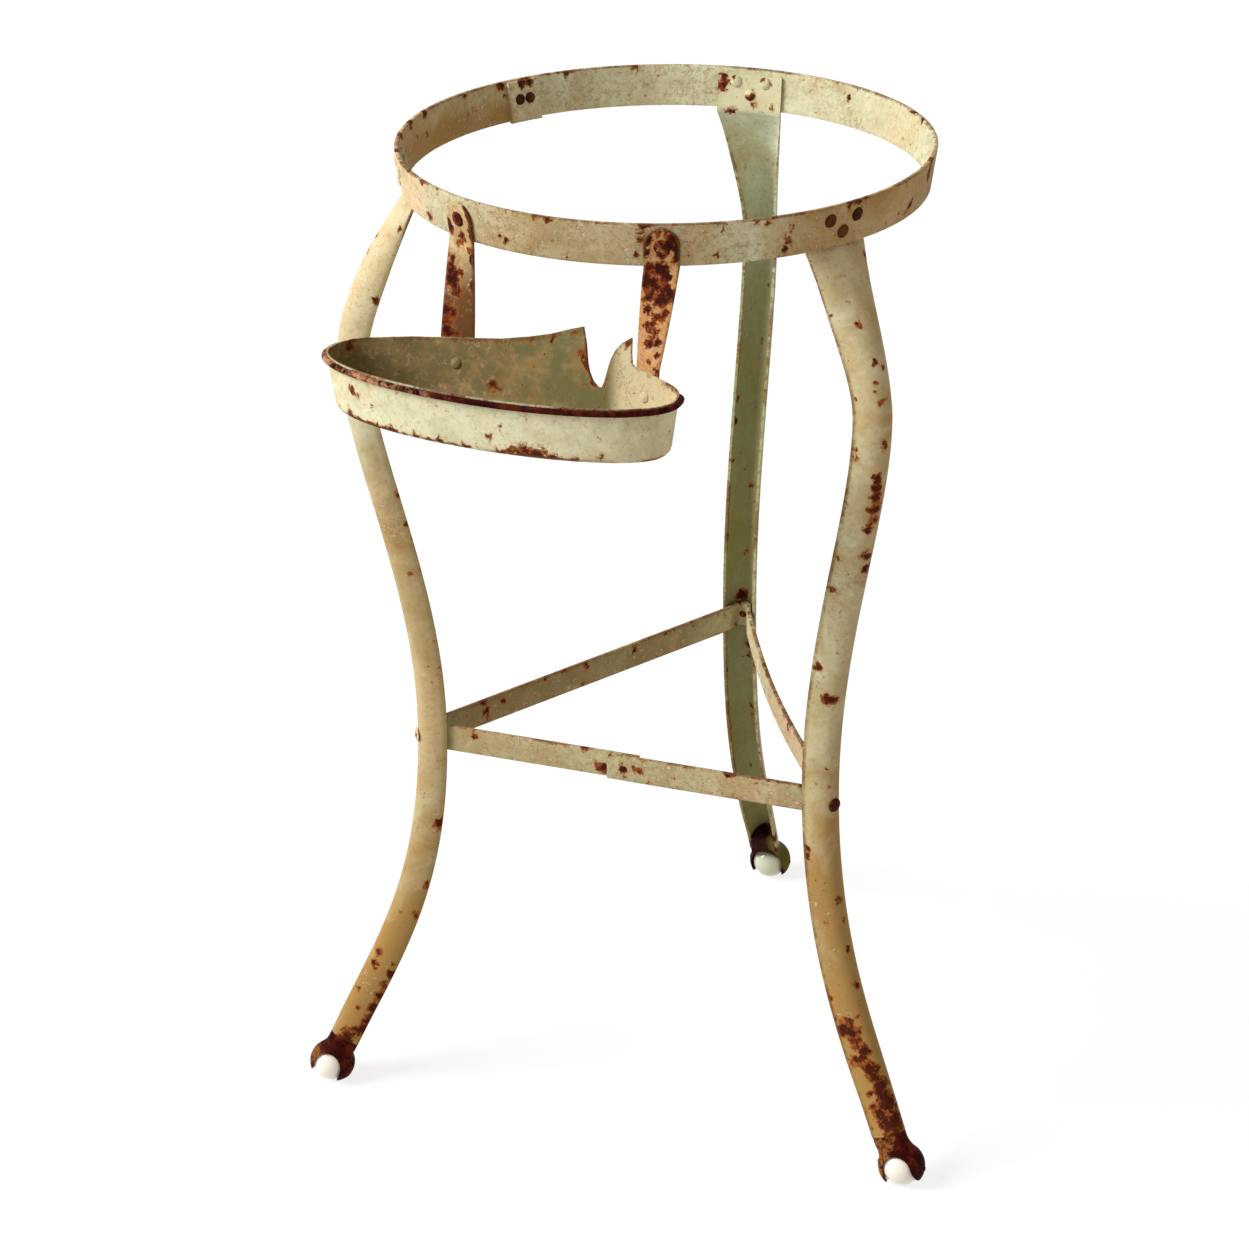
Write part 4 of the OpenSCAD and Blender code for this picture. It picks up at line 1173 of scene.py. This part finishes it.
def rivet_group(name, tree, sockets, spots, radius, height, material):
    """Heads on the spots: (place in metres, way the head faces)."""
    mesh = bpy.data.meshes.new(name)
    mesh.from_pydata([tuple(p) for p, _ in spots], [], [])
    aim = mesh.attributes.new("aim", "FLOAT_VECTOR", "POINT")
    aim.data.foreach_set("vector", [c for _, way in spots for c in way])
    obj = bpy.data.objects.new(name, mesh)
    bpy.context.scene.collection.objects.link(obj)
    setter = obj.modifiers.new("rivets", "NODES")
    setter.node_group = tree
    setter[sockets["head"]] = radius * MM
    setter[sockets["rise"]] = height * MM
    setter[sockets["finish"]] = material
    bpy.context.view_layer.update()
    return applied(obj)


def on_hoop(turn, z, out_by):
    """A place `out_by` millimetres out from the hoop's outer face, and the way out."""
    a = math.radians(turn)
    way = Vector((math.sin(a) * math.cos(STRIP_LEAN), -math.cos(a) * math.cos(STRIP_LEAN),
                  -math.sin(STRIP_LEAN)))
    return around(turn, 0, hoop_out(z), z) + way * out_by * MM, way


def both_ends(turn, z, head_at, tail_at):
    """A rivet through the hoop: its head and its tail, each a place and the way it faces."""
    head, way = on_hoop(turn, z, head_at)
    tail, _ = on_hoop(turn, z, tail_at)
    return (head, way), (tail, -way)


def hammer(obj, depth):
    """Makes the heads a little uneven, as hand-set rivets are."""
    for v in obj.data.vertices:
        v.co += wander(v.co * HAMMER_SCALE) * depth * MM


def add_rivets(rust, painted):
    """Bare rivets in `rust`; `painted` gives the paint that covers the rest, by node."""
    tree, sockets = rivet_tree()

    def group(name, node, kind, pairs):
        material = painted.get(node, rust)
        heads, tails = zip(*pairs)
        head_size, tail_size = RIVETS[kind]
        first = rivet_group(name, tree, sockets, heads, *head_size, material)
        second = rivet_group(name + "_tails", tree, sockets, tails, *tail_size, material)
        hammer(first, HEAD_HAMMERED)
        hammer(second, TAIL_HAMMERED)
        # The tails are marked as on the inner face, so they take their paint's hollow tint,
        # painted shade included
        hollow = [0.0] * len(first.data.vertices) + [1.0] * len(second.data.vertices)
        obj = joined([first, second])
        keep_mark(obj, "hollow", hollow)
        if node in SPOTS:
            mark_spots(obj, SPOTS[node])
        finish_piece(obj, "stand", material, node)

    side = math.degrees(math.asin(TAB_PITCH / 2 / hoop_out(TAB_Z)))
    for name, leg in LEGS.items():
        pairs = [both_ends(leg.tab_turn + s, z, SEAT, -STRIP_T - LEG_T - 3 * SEAT)
                 for s, z in ((-side, TAB_Z), (side, TAB_Z), (0, TAB_Z - TAB_ROW_GAP))]
        group("leg_%s_tab_rivets" % name, "leg_%s_rivets" % name, "tab", pairs)
    lap = math.degrees(math.asin(LAP_HALF_PITCH / hoop_out(TAB_Z)))
    pairs = [both_ends(LAP_TURN + s * lap, MID_STRIP, SEAT, -2 * STRIP_T - SEAT)
             for s in (-1, 1)]
    group("lap_rivets", "hoop_lap_rivets", "lap", pairs)
    pairs = [both_ends(RACK_TURN + s * HANGER_SPREAD, MID_STRIP, HANGER_T + 2 * SEAT,
                       -STRIP_T - SEAT) for s in (-1, 1)]
    group("hanger_top_rivets", "hanger_rivets", "hanger", pairs)
    pairs = []
    for leg in LEGS.values():
        turn = turn_at(leg, BAND_H)
        a = math.radians(turn)
        way = Vector((math.sin(a), -math.cos(a), 0))
        pairs.append(((around(turn, 0, crown_reach(leg, BAND_H) + SEAT, BAND_H), way),
                      (around(turn, 0, band_out(leg) - BAND_T - SEAT / 2, BAND_H), -way)))
    group("band_corner_rivets", "band_rivets", "band", pairs)
    pairs = []
    rack = Matrix.Rotation(math.radians(RACK_TURN), 3, "Z")
    for x in HANGER_X.values():
        z = DISH_H - DISH_RIVET_DOWN
        f = math.radians(back_facing(x))
        way = Vector((math.sin(f) * math.cos(DISH_TAPER), math.cos(f) * math.cos(DISH_TAPER),
                      -math.sin(DISH_TAPER)))
        base = Vector((x, back_face(x, z) - DISH_REACH, z + DISH_RIM_H - DISH_H))
        pairs.append(((rack @ (base + way * (HANGER_T + 2 * SEAT)) * MM, rack @ way),
                      (rack @ (base - way * (DISH_T + DISH_TAIL_AT)) * MM, -(rack @ way))))
    group("dish_back_rivets", "dish_rivets", "dish", pairs)


# ---------------------------------------------------------------- shader groups

# The sockets of a colour mix node
MIX_A, MIX_B, MIX_OUT = 6, 7, 2


def shader_group(name, inputs, outputs):
    """A node group from (label, kind, default) inputs and (label, kind) outputs."""
    tree = bpy.data.node_groups.new(name, "ShaderNodeTree")
    kinds = {"color": "NodeSocketColor", "value": "NodeSocketFloat", "vector": "NodeSocketVector"}
    for label, kind, default in inputs:
        socket = tree.interface.new_socket(label, in_out="INPUT", socket_type=kinds[kind])
        if default is not None:
            socket.default_value = default
    for label, kind in outputs:
        tree.interface.new_socket(label, in_out="OUTPUT", socket_type=kinds[kind])
    return tree, tree.nodes.new("NodeGroupInput"), tree.nodes.new("NodeGroupOutput")


def feed(tree, socket, value):
    """Links a socket to another node's output, or sets it to a plain value."""
    if hasattr(value, "is_linked"):
        tree.links.new(value, socket)
    else:
        socket.default_value = value


def noise_node(tree, vector, scale, detail=6, rough=0.6, warp=0.0):
    node = tree.nodes.new("ShaderNodeTexNoise")
    node.inputs["Scale"].default_value = scale
    node.inputs["Detail"].default_value = detail
    node.inputs["Roughness"].default_value = rough
    node.inputs["Distortion"].default_value = warp
    tree.links.new(vector, node.inputs["Vector"])
    return node.outputs["Fac"]


def math_node(tree, operation, a, b=None, c=None, clamp=False):
    node = tree.nodes.new("ShaderNodeMath")
    node.operation = operation
    node.use_clamp = clamp
    for i, value in enumerate((a, b, c)):
        if value is not None:
            feed(tree, node.inputs[i], value)
    return node.outputs[0]


def times(tree, a, b):
    return math_node(tree, "MULTIPLY", a, b)


def step_node(tree, value, low, high):
    """0 below `low`, 1 above `high`, smooth between; the other way round if `high` is lower."""
    node = tree.nodes.new("ShaderNodeMapRange")
    node.interpolation_type = "SMOOTHSTEP"
    feed(tree, node.inputs["Value"], value)
    node.inputs["From Min"].default_value = low
    node.inputs["From Max"].default_value = high
    return node.outputs["Result"]


def mix_colour(tree, fac, a, b):
    """Colour a where `fac` is 0 and b where it is 1."""
    node = tree.nodes.new("ShaderNodeMix")
    node.data_type = "RGBA"
    feed(tree, node.inputs["Factor"], fac)
    feed(tree, node.inputs[MIX_A], a)
    feed(tree, node.inputs[MIX_B], b)
    return node.outputs[MIX_OUT]


def laid_over(tree, base, colour, cover, amount):
    """The base colour with another one laid over it, as far as `cover` goes, times `amount`."""
    return mix_colour(tree, times(tree, cover, amount), base, colour)


def srgb(r, g, b):
    """A colour from its usual 0 to 255 values."""
    def linear(c):
        c /= 255
        return c / 12.92 if c <= 0.04045 else ((c + 0.055) / 1.055) ** 2.4
    return (linear(r), linear(g), linear(b), 1.0)


def scaled(tree, value, gain, middle=0.5):
    """A noise about its middle, times a gain."""
    return math_node(tree, "MULTIPLY_ADD", value, gain, -gain * middle)


def old_paint_group():
    """Chalky paint in drifting tints, with brown stain and painted shade, chips, worn edges and
    rust patches.
    """
    tree, inp, out = shader_group("old paint", [
        ("Position", "vector", None), ("Paint", "color", srgb(204, 198, 158)),
        ("Warm Paint", "color", srgb(206, 184, 138)), ("Chip", "color", srgb(236, 206, 170)),
        ("Stain And Shade Brown", "color", srgb(150, 112, 52)), ("Rust", "color", srgb(138, 62, 24)),
        ("Dark Rust", "color", srgb(58, 16, 8)), ("Rust Bloom", "color", srgb(168, 104, 46)),
        ("Warmth", "value", 0.5), ("Stain", "value", 0.0), ("Wear", "value", 0.05),
        ("Edge", "value", 0.0), ("Spot", "value", 0.0), ("Peeling", "value", 0.4),
        ("Tint", "color", srgb(128, 120, 68)), ("Tinting", "value", 0.0)],
        [("Color", "color"), ("Roughness", "value"), ("Height", "value")])
    p = inp.outputs["Position"]
    drift = noise_node(tree, p, 9, 4, 0.6, 0.5)
    warm = step_node(tree, math_node(tree, "ADD", drift, scaled(tree, inp.outputs["Warmth"], 0.5)),
                     0.40, 0.60)
    colour = mix_colour(tree, warm, inp.outputs["Paint"], inp.outputs["Warm Paint"])
    # Brushed-on clouds and a fine chalky grain, each with a darker and a paler side
    cloud = noise_node(tree, p, 48, 5, 0.62, 0.7)
    grain = noise_node(tree, p, 310, 7, 0.7, 0.3)
    for source, low, high, amount, tone in (
            (cloud, 0.48, 0.68, 0.30, srgb(168, 158, 106)),
            (cloud, 0.50, 0.32, 0.30, srgb(228, 222, 188)),
            (grain, 0.50, 0.68, 0.34, srgb(146, 124, 74)),
            (grain, 0.46, 0.30, 0.34, srgb(238, 228, 196))):
        colour = laid_over(tree, colour, tone, step_node(tree, source, low, high), amount)
    # Brown stain, in streaks; where the stain mark holds painted shade, this brown paints it
    streak = noise_node(tree, p, 26, 6, 0.62, 1.2)
    stain = math_node(tree, "ADD", inp.outputs["Stain"], scaled(tree, streak, 1.3), clamp=True)
    colour = laid_over(tree, colour, inp.outputs["Stain And Shade Brown"], stain, 0.92)
    # A tint laid by place: the hoop's peach undercoat, and in hollows greener paint, grime and
    # painted shade
    colour = mix_colour(tree, inp.outputs["Tinting"], colour, inp.outputs["Tint"])
    # Chips down to the undercoat, gathered in places, each with a darker rim
    gather = step_node(tree, math_node(tree, "ADD", noise_node(tree, p, 17, 3, 0.5),
                                       scaled(tree, inp.outputs["Peeling"], 0.4)), 0.44, 0.62)
    chip_noise = noise_node(tree, p, 235, 8, 0.72, 0.25)
    chip = times(tree, step_node(tree, chip_noise, 0.545, 0.625), gather)
    rim = times(tree, step_node(tree, chip_noise, 0.50, 0.55), gather)
    rim = math_node(tree, "SUBTRACT", rim, chip, clamp=True)
    colour = laid_over(tree, colour, srgb(134, 96, 56), rim, 0.34)
    colour = laid_over(tree, colour, inp.outputs["Chip"], chip, 0.5)
    # How bare the iron is: the noted places, edges in patches, and stray flakes
    ragged = noise_node(tree, p, 250, 9, 0.68, 0.5)
    flake = noise_node(tree, p, 80, 7, 0.66, 0.5)
    patchy = step_node(tree, noise_node(tree, p, 24, 5, 0.6), 0.44, 0.60)
    edge = times(tree, inp.outputs["Edge"], math_node(tree, "MULTIPLY_ADD", patchy, 0.24, 0.08))
    field = math_node(tree, "ADD", scaled(tree, flake, 1.1), scaled(tree, ragged, 2.1))
    field = math_node(tree, "ADD", field, math_node(tree, "ADD", edge, inp.outputs["Wear"]))
    field = math_node(tree, "ADD", field, inp.outputs["Spot"])
    halo = step_node(tree, field, 0.20, 0.54)
    bare = step_node(tree, field, 0.46, 0.60)
    deep = step_node(tree, field, 0.55, 0.95)
    colour = laid_over(tree, colour, inp.outputs["Rust Bloom"], halo, 0.62)
    tone = step_node(tree, math_node(tree, "MULTIPLY_ADD", deep, 0.26,
                                     noise_node(tree, p, 120, 7, 0.7, 0.3)), 0.44, 0.74)
    rust = mix_colour(tree, tone, inp.outputs["Rust"], inp.outputs["Dark Rust"])
    colour = mix_colour(tree, bare, colour, rust)
    # A thin brown line where the paint has worn off the arris
    arris = times(tree, step_node(tree, inp.outputs["Edge"], 0.62, 0.97),
                  step_node(tree, math_node(tree, "ADD", scaled(tree, grain, 0.9, 0.0),
                                            scaled(tree, patchy, 0.2)), 0.30, 0.52))
    colour = laid_over(tree, colour, srgb(112, 74, 40), arris, 0.75)
    # Pin-head specks
    speck = step_node(tree, noise_node(tree, p, 330, 3, 0.5), 0.70, 0.75)
    colour = laid_over(tree, colour, inp.outputs["Dark Rust"], speck, 0.75)
    link = tree.links.new
    link(colour, out.inputs["Color"])
    rough = math_node(tree, "MULTIPLY_ADD", bare, 0.22, 0.50)
    link(math_node(tree, "MULTIPLY_ADD", grain, 0.24, rough), out.inputs["Roughness"])
    height = math_node(tree, "MULTIPLY_ADD", bare, -0.9, times(tree, grain, 0.35))
    link(math_node(tree, "MULTIPLY_ADD", chip, -0.6, height), out.inputs["Height"])
    return tree


def rust_group():
    """Scaly old rust: near black, brown on the scale and ochre dust."""
    tree, inp, out = shader_group("scaly rust", [
        ("Position", "vector", None), ("Dark", "color", srgb(42, 4, 3)),
        ("Brown", "color", srgb(90, 30, 13)), ("Dust", "color", srgb(164, 104, 50)),
        ("Dusting", "value", 0.2)],
        [("Color", "color"), ("Roughness", "value"), ("Height", "value")])
    p = inp.outputs["Position"]
    scale = noise_node(tree, p, 95, 8, 0.68, 0.6)
    fine = noise_node(tree, p, 420, 5, 0.7)
    colour = mix_colour(tree, step_node(tree, scale, 0.42, 0.66), inp.outputs["Dark"],
                        inp.outputs["Brown"])
    dust = math_node(tree, "ADD", scaled(tree, scale, 1.4),
                     math_node(tree, "ADD", scaled(tree, fine, 0.8), inp.outputs["Dusting"]))
    colour = mix_colour(tree, step_node(tree, dust, 0.30, 0.72), colour, inp.outputs["Dust"])
    link = tree.links.new
    link(colour, out.inputs["Color"])
    link(math_node(tree, "MULTIPLY_ADD", fine, 0.3, 0.5), out.inputs["Roughness"])
    link(math_node(tree, "MULTIPLY_ADD", fine, 0.4, scale), out.inputs["Height"])
    return tree


OLD_PAINT = old_paint_group()
SCALY_RUST = rust_group()
# How much each coat shines, and how strongly its height shows
PAINT_SHINE, PAINT_BUMP = 0.12, 0.7
RUST_SHINE, RUST_BUMP = 0.04, 0.8
BUMP_DEPTH = 0.0008


def new_material(name):
    """A material with its nodes, its shader and the place on the object."""
    material = bpy.data.materials.new(name)
    material.use_nodes = True
    tree = material.node_tree
    shader = tree.nodes["Principled BSDF"]
    place = tree.nodes.new("ShaderNodeTexCoord").outputs["Object"]
    return material, tree, shader, place


def add_bump(tree, shader, height, distance, strength):
    """Lets a height show in the shader's normal; the distance is in metres."""
    bump = tree.nodes.new("ShaderNodeBump")
    bump.inputs["Distance"].default_value = distance
    bump.inputs["Strength"].default_value = strength
    tree.links.new(height, bump.inputs["Height"])
    tree.links.new(bump.outputs["Normal"], shader.inputs["Normal"])


def coat_material(name, effect, shine, bump):
    """A material whose colour, roughness and height come from a shared group."""
    material, tree, shader, place = new_material(name)
    coat = tree.nodes.new("ShaderNodeGroup")
    coat.node_tree = effect
    tree.links.new(place, coat.inputs["Position"])
    tree.links.new(coat.outputs["Color"], shader.inputs["Base Color"])
    tree.links.new(coat.outputs["Roughness"], shader.inputs["Roughness"])
    shader.inputs["Specular IOR Level"].default_value = shine
    add_bump(tree, shader, coat.outputs["Height"], BUMP_DEPTH, bump)
    return material, tree, coat, place


def mark(tree, name):
    """A number that is kept on the points of the mesh."""
    node = tree.nodes.new("ShaderNodeAttribute")
    node.attribute_name = name
    return node.outputs["Fac"]


def axis_of(tree, place, axis):
    """One coordinate of a place, in metres."""
    split = tree.nodes.new("ShaderNodeSeparateXYZ")
    tree.links.new(place, split.inputs[0])
    return split.outputs[axis]


def paint_material(name, settings, tinted=None):
    """Old paint with its settings; `tinted` gives a tint and its amount by place."""
    material, tree, coat, place = coat_material(name, OLD_PAINT, PAINT_SHINE,
                                                PAINT_BUMP)
    for label, value in settings.items():
        coat.inputs[label].default_value = value
    # The stain mark brings painted shade as well as stain into the paint
    for label in ("Edge", "Spot", "Stain"):
        tree.links.new(mark(tree, label.lower()), coat.inputs[label])
    if tinted:
        tint, amount = tinted(tree, place)
        tree.links.new(tint, coat.inputs["Tint"])
        tree.links.new(amount, coat.inputs["Tinting"])
    return material


def rust_material(name, dusting, dust_and_shade=0.0, **tones):
    """Bare rusted iron; the number after `dusting` is how much dustier the marked side is, and
    `tones` are its colours. On the rear cup the dark rust where the mark is low is also painted
    shade.
    """
    material, tree, coat, _ = coat_material(name, SCALY_RUST, RUST_SHINE, RUST_BUMP)
    coat.inputs["Dusting"].default_value = dusting
    if dust_and_shade:
        tree.links.new(math_node(tree, "MULTIPLY_ADD", mark(tree, "dust_and_shade"), dust_and_shade, dusting),
                       coat.inputs["Dusting"])
    for label, colour in tones.items():
        coat.inputs[label].default_value = colour
    return material


def hoop_peach(tree, place):
    """Peach undercoat in clouds, where the hoop is marked for it."""
    cloud = noise_node(tree, place, 60, 6, 0.65, 0.4)
    return (mix_colour(tree, cloud, srgb(230, 184, 144), srgb(222, 200, 158)),
            times(tree, mark(tree, "peach"), step_node(tree, cloud, 0.64, 0.46)))


def channel_paint_and_shade(tree, place):
    """Greener paint inside the front legs' channels, made darker with painted shade."""
    return (mix_colour(tree, axis_of(tree, place, "Z"), srgb(120, 106, 56), srgb(136, 132, 84)),
            times(tree, mark(tree, "hollow"), 0.6))


def rear_hollow_paint_and_shade(tree, place):
    """The rear leg's hollow: cream on the tab, pale sage under it, olive further down, which is
    greener paint darkened with painted shade.
    """
    z = axis_of(tree, place, "Z")
    cream = step_node(tree, z, 0.660, 0.667)
    olive = step_node(tree, z, 0.640, 0.470)
    amount = math_node(tree, "MULTIPLY_ADD", cream, 0.4, times(tree, olive, 0.66))
    return (mix_colour(tree, cream, srgb(124, 122, 58), srgb(216, 198, 148)),
            times(tree, mark(tree, "hollow"), amount))


def dish_grime_and_shade(tree, place):
    """The dish's inside: olive brown grime and painted shade, tan flakes to the left, moss by the
    notch, pale past it.
    """
    x = axis_of(tree, place, "X")
    cloud = noise_node(tree, place, 60, 8, 0.72, 0.15)
    colour = mix_colour(tree, step_node(tree, cloud, 0.42, 0.66), srgb(104, 90, 42),
                        srgb(142, 114, 62))
    moss = times(tree, step_node(tree, x, -0.060, -0.015), step_node(tree, cloud, 0.56, 0.44))
    colour = laid_over(tree, colour, srgb(86, 88, 38), moss, 0.6)
    flakes = step_node(tree, noise_node(tree, place, 170, 9, 0.75, 0.2), 0.52, 0.62)
    flakes = times(tree, flakes, step_node(tree, x, -0.010, -0.075))
    colour = laid_over(tree, colour, srgb(190, 152, 112), flakes, 0.6)
    pale = step_node(tree, x, 0.020, 0.034)
    colour = mix_colour(tree, pale, colour, srgb(206, 190, 152))
    amount = math_node(tree, "MULTIPLY_ADD", pale, -0.2, 0.9)
    return colour, times(tree, mark(tree, "hollow"), amount)


def porcelain_material(name, pale, shaded):
    """Glazed white ware, clouded between two tones and stained in specks."""
    material, tree, shader, place = new_material(name)
    cloud = noise_node(tree, place, 60, 4, 0.6)
    stain = step_node(tree, noise_node(tree, place, 220, 6, 0.7), 0.62, 0.78)
    colour = laid_over(tree, mix_colour(tree, cloud, pale, shaded), srgb(190, 166, 134),
                       stain, 0.35)
    tree.links.new(colour, shader.inputs["Base Color"])
    tree.links.new(math_node(tree, "MULTIPLY_ADD", cloud, 0.2, 0.12), shader.inputs["Roughness"])
    shader.inputs["Coat Weight"].default_value = 0.5
    shader.inputs["Coat Roughness"].default_value = 0.08
    add_bump(tree, shader, cloud, 0.0003, 0.2)
    return material


# ---------------------------------------------------------------- stage

def seen_directly(tree):
    """1 for what the camera, a reflection or a glass sees, and 0 for the light itself."""
    path = tree.nodes.new("ShaderNodeLightPath")
    seen = math_node(tree, "ADD", path.outputs["Is Camera Ray"], path.outputs["Is Glossy Ray"])
    return math_node(tree, "ADD", seen, path.outputs["Is Transmission Ray"], clamp=True)


WHITE = (1, 1, 1, 1)
FLOOR_HALF = 14.0
FLOOR_LIT = (0.80, 0.80, 0.80, 1)
FLOOR_SEEN = (0.22, 0.22, 0.22, 1)
FLOOR_GLOW = 0.80
SKY_LIGHT = (1.0, 0.93, 0.80, 1)
SKY_STRENGTH = 0.43
SUN_TOWARDS = (0.82, 0.52, -0.75)
SUN_STRENGTH = 3.6
SUN_WIDTH = math.radians(32)


def add_stage():
    """A plain pale floor that reads as white, and soft daylight from the left."""
    mesh = bpy.data.meshes.new("studio_floor")
    r = FLOOR_HALF
    mesh.from_pydata([(-r, -r, 0), (r, -r, 0), (r, r, 0), (-r, r, 0)], [], [(0, 1, 2, 3)])
    floor = bpy.data.objects.new("studio_floor", mesh)
    bpy.context.scene.collection.objects.link(floor)
    material = bpy.data.materials.new("pale floor")
    material.use_nodes = True
    tree = material.node_tree
    shader = tree.nodes["Principled BSDF"]
    # The camera sees most of the white as glow, so that the stand's shadow stays faint
    seen = seen_directly(tree)
    tree.links.new(mix_colour(tree, seen, FLOOR_LIT, FLOOR_SEEN), shader.inputs["Base Color"])
    shader.inputs["Roughness"].default_value = 0.9
    shader.inputs["Specular IOR Level"].default_value = 0.0
    shader.inputs["Emission Color"].default_value = WHITE
    tree.links.new(times(tree, seen, FLOOR_GLOW), shader.inputs["Emission Strength"])
    mesh.materials.append(material)

    world = bpy.data.worlds.new("studio")
    bpy.context.scene.world = world
    world.use_nodes = True
    tree = world.node_tree
    back = tree.nodes["Background"]
    seen = seen_directly(tree)
    tree.links.new(mix_colour(tree, seen, SKY_LIGHT, WHITE), back.inputs["Color"])
    tree.links.new(math_node(tree, "MULTIPLY_ADD", seen, 1 - SKY_STRENGTH, SKY_STRENGTH),
                   back.inputs["Strength"])

    data = bpy.data.lights.new("window", "SUN")
    data.energy = SUN_STRENGTH
    data.angle = SUN_WIDTH
    window = bpy.data.objects.new("window", data)
    window.rotation_euler = Vector(SUN_TOWARDS).to_track_quat("-Z", "Y").to_euler()
    bpy.context.scene.collection.objects.link(window)
    bpy.context.scene.view_settings.view_transform = "Standard"


# ---------------------------------------------------------------- the stand

add_camera()

sage = {"Paint": srgb(204, 203, 169), "Warm Paint": srgb(206, 188, 148)}
hoop_paint = paint_material("hoop paint", {
    **sage, "Rust": srgb(134, 74, 28), "Dark Rust": srgb(62, 27, 10), "Warmth": 0.5,
    "Wear": 0.04, "Peeling": 0.7}, hoop_peach)
leg_paint = paint_material("leg paint", {
    **sage, "Rust": srgb(146, 80, 30), "Dark Rust": srgb(66, 20, 4), "Warmth": 0.45,
    "Wear": 0.0}, channel_paint_and_shade)
rear_paint = paint_material("rear leg paint", {
    "Paint": srgb(194, 202, 174), "Warm Paint": srgb(190, 188, 146), "Warmth": 0.4,
    "Peeling": 0.1}, rear_hollow_paint_and_shade)
band_paint = paint_material("band paint", {
    "Paint": srgb(194, 188, 150), "Warm Paint": srgb(198, 172, 136),
    "Stain And Shade Brown": srgb(134, 114, 66), "Wear": 0.06, "Warmth": 0.45, "Peeling": 0.9})
left_hanger_paint = paint_material("left hanger paint", {
    "Paint": srgb(206, 186, 140), "Warm Paint": srgb(198, 164, 112),
    "Stain And Shade Brown": srgb(94, 46, 2), "Wear": -0.02, "Warmth": 0.5, "Peeling": 0.7})
right_hanger_paint = paint_material("right hanger paint", {
    "Paint": srgb(204, 158, 110), "Warm Paint": srgb(214, 164, 116),
    "Stain And Shade Brown": srgb(186, 124, 66), "Wear": 0.02, "Warmth": 0.6, "Peeling": 0.9})
dish_paint = paint_material("dish paint", {
    "Paint": srgb(216, 214, 179), "Warm Paint": srgb(218, 206, 168),
    "Rust": srgb(150, 80, 32), "Dark Rust": srgb(76, 30, 12), "Warmth": 0.3,
    "Peeling": 0.2}, dish_grime_and_shade)
cup_rust = rust_material("foot rust", -0.25, dust_and_shade=0.75, Dust=srgb(146, 92, 44))
# The rear cup's darker brown and olive dust stand partly for grime and partly for painted shade
rear_cup_rust_and_shade = rust_material("rear foot grime and painted shade", -0.6, dust_and_shade=1.3, Dust=srgb(96, 84, 32),
                              Brown=srgb(48, 26, 12))
pin_rust = rust_material("pin rust", 0.0)
rim_rust = rust_material("rim bead rust", 0.0, dust_and_shade=0.48, Dust=srgb(190, 138, 102))
rivet_rust = rust_material("rivet rust", -0.05, Dark=srgb(58, 26, 12), Brown=srgb(96, 54, 24),
                           Dust=srgb(134, 90, 42))
porcelain = porcelain_material("white glazed porcelain", srgb(240, 234, 226), srgb(226, 216, 202))
# The rear ball's darker, greener tones are painted shade from its cup and leg, with some grime
shaded_grimy_porcelain = porcelain_material("grimy porcelain in painted shade", srgb(198, 202, 178), srgb(176, 180, 150))

add_hoop(hoop_paint)
for side in LEGS:
    add_leg(side, rear_paint if side == "rear" else leg_paint)
    add_cup(side, rear_cup_rust_and_shade if side == "rear" else cup_rust)
    add_ball(side, shaded_grimy_porcelain if side == "rear" else porcelain)
    add_pin(side, pin_rust)
add_band(band_paint)
add_dish(dish_paint)
add_rim_wire(rim_rust)
add_hanger(-1, "dish_hanger_left", "hanger_left", left_hanger_paint)
add_hanger(1, "dish_hanger_right", "hanger_right", right_hanger_paint)
add_rivets(rivet_rust, {"leg_left_rivets": leg_paint, "leg_rear_rivets": rear_paint,
                        "dish_rivets": dish_paint, "hanger_rivets": right_hanger_paint,
                        "band_rivets": leg_paint})
add_stage()
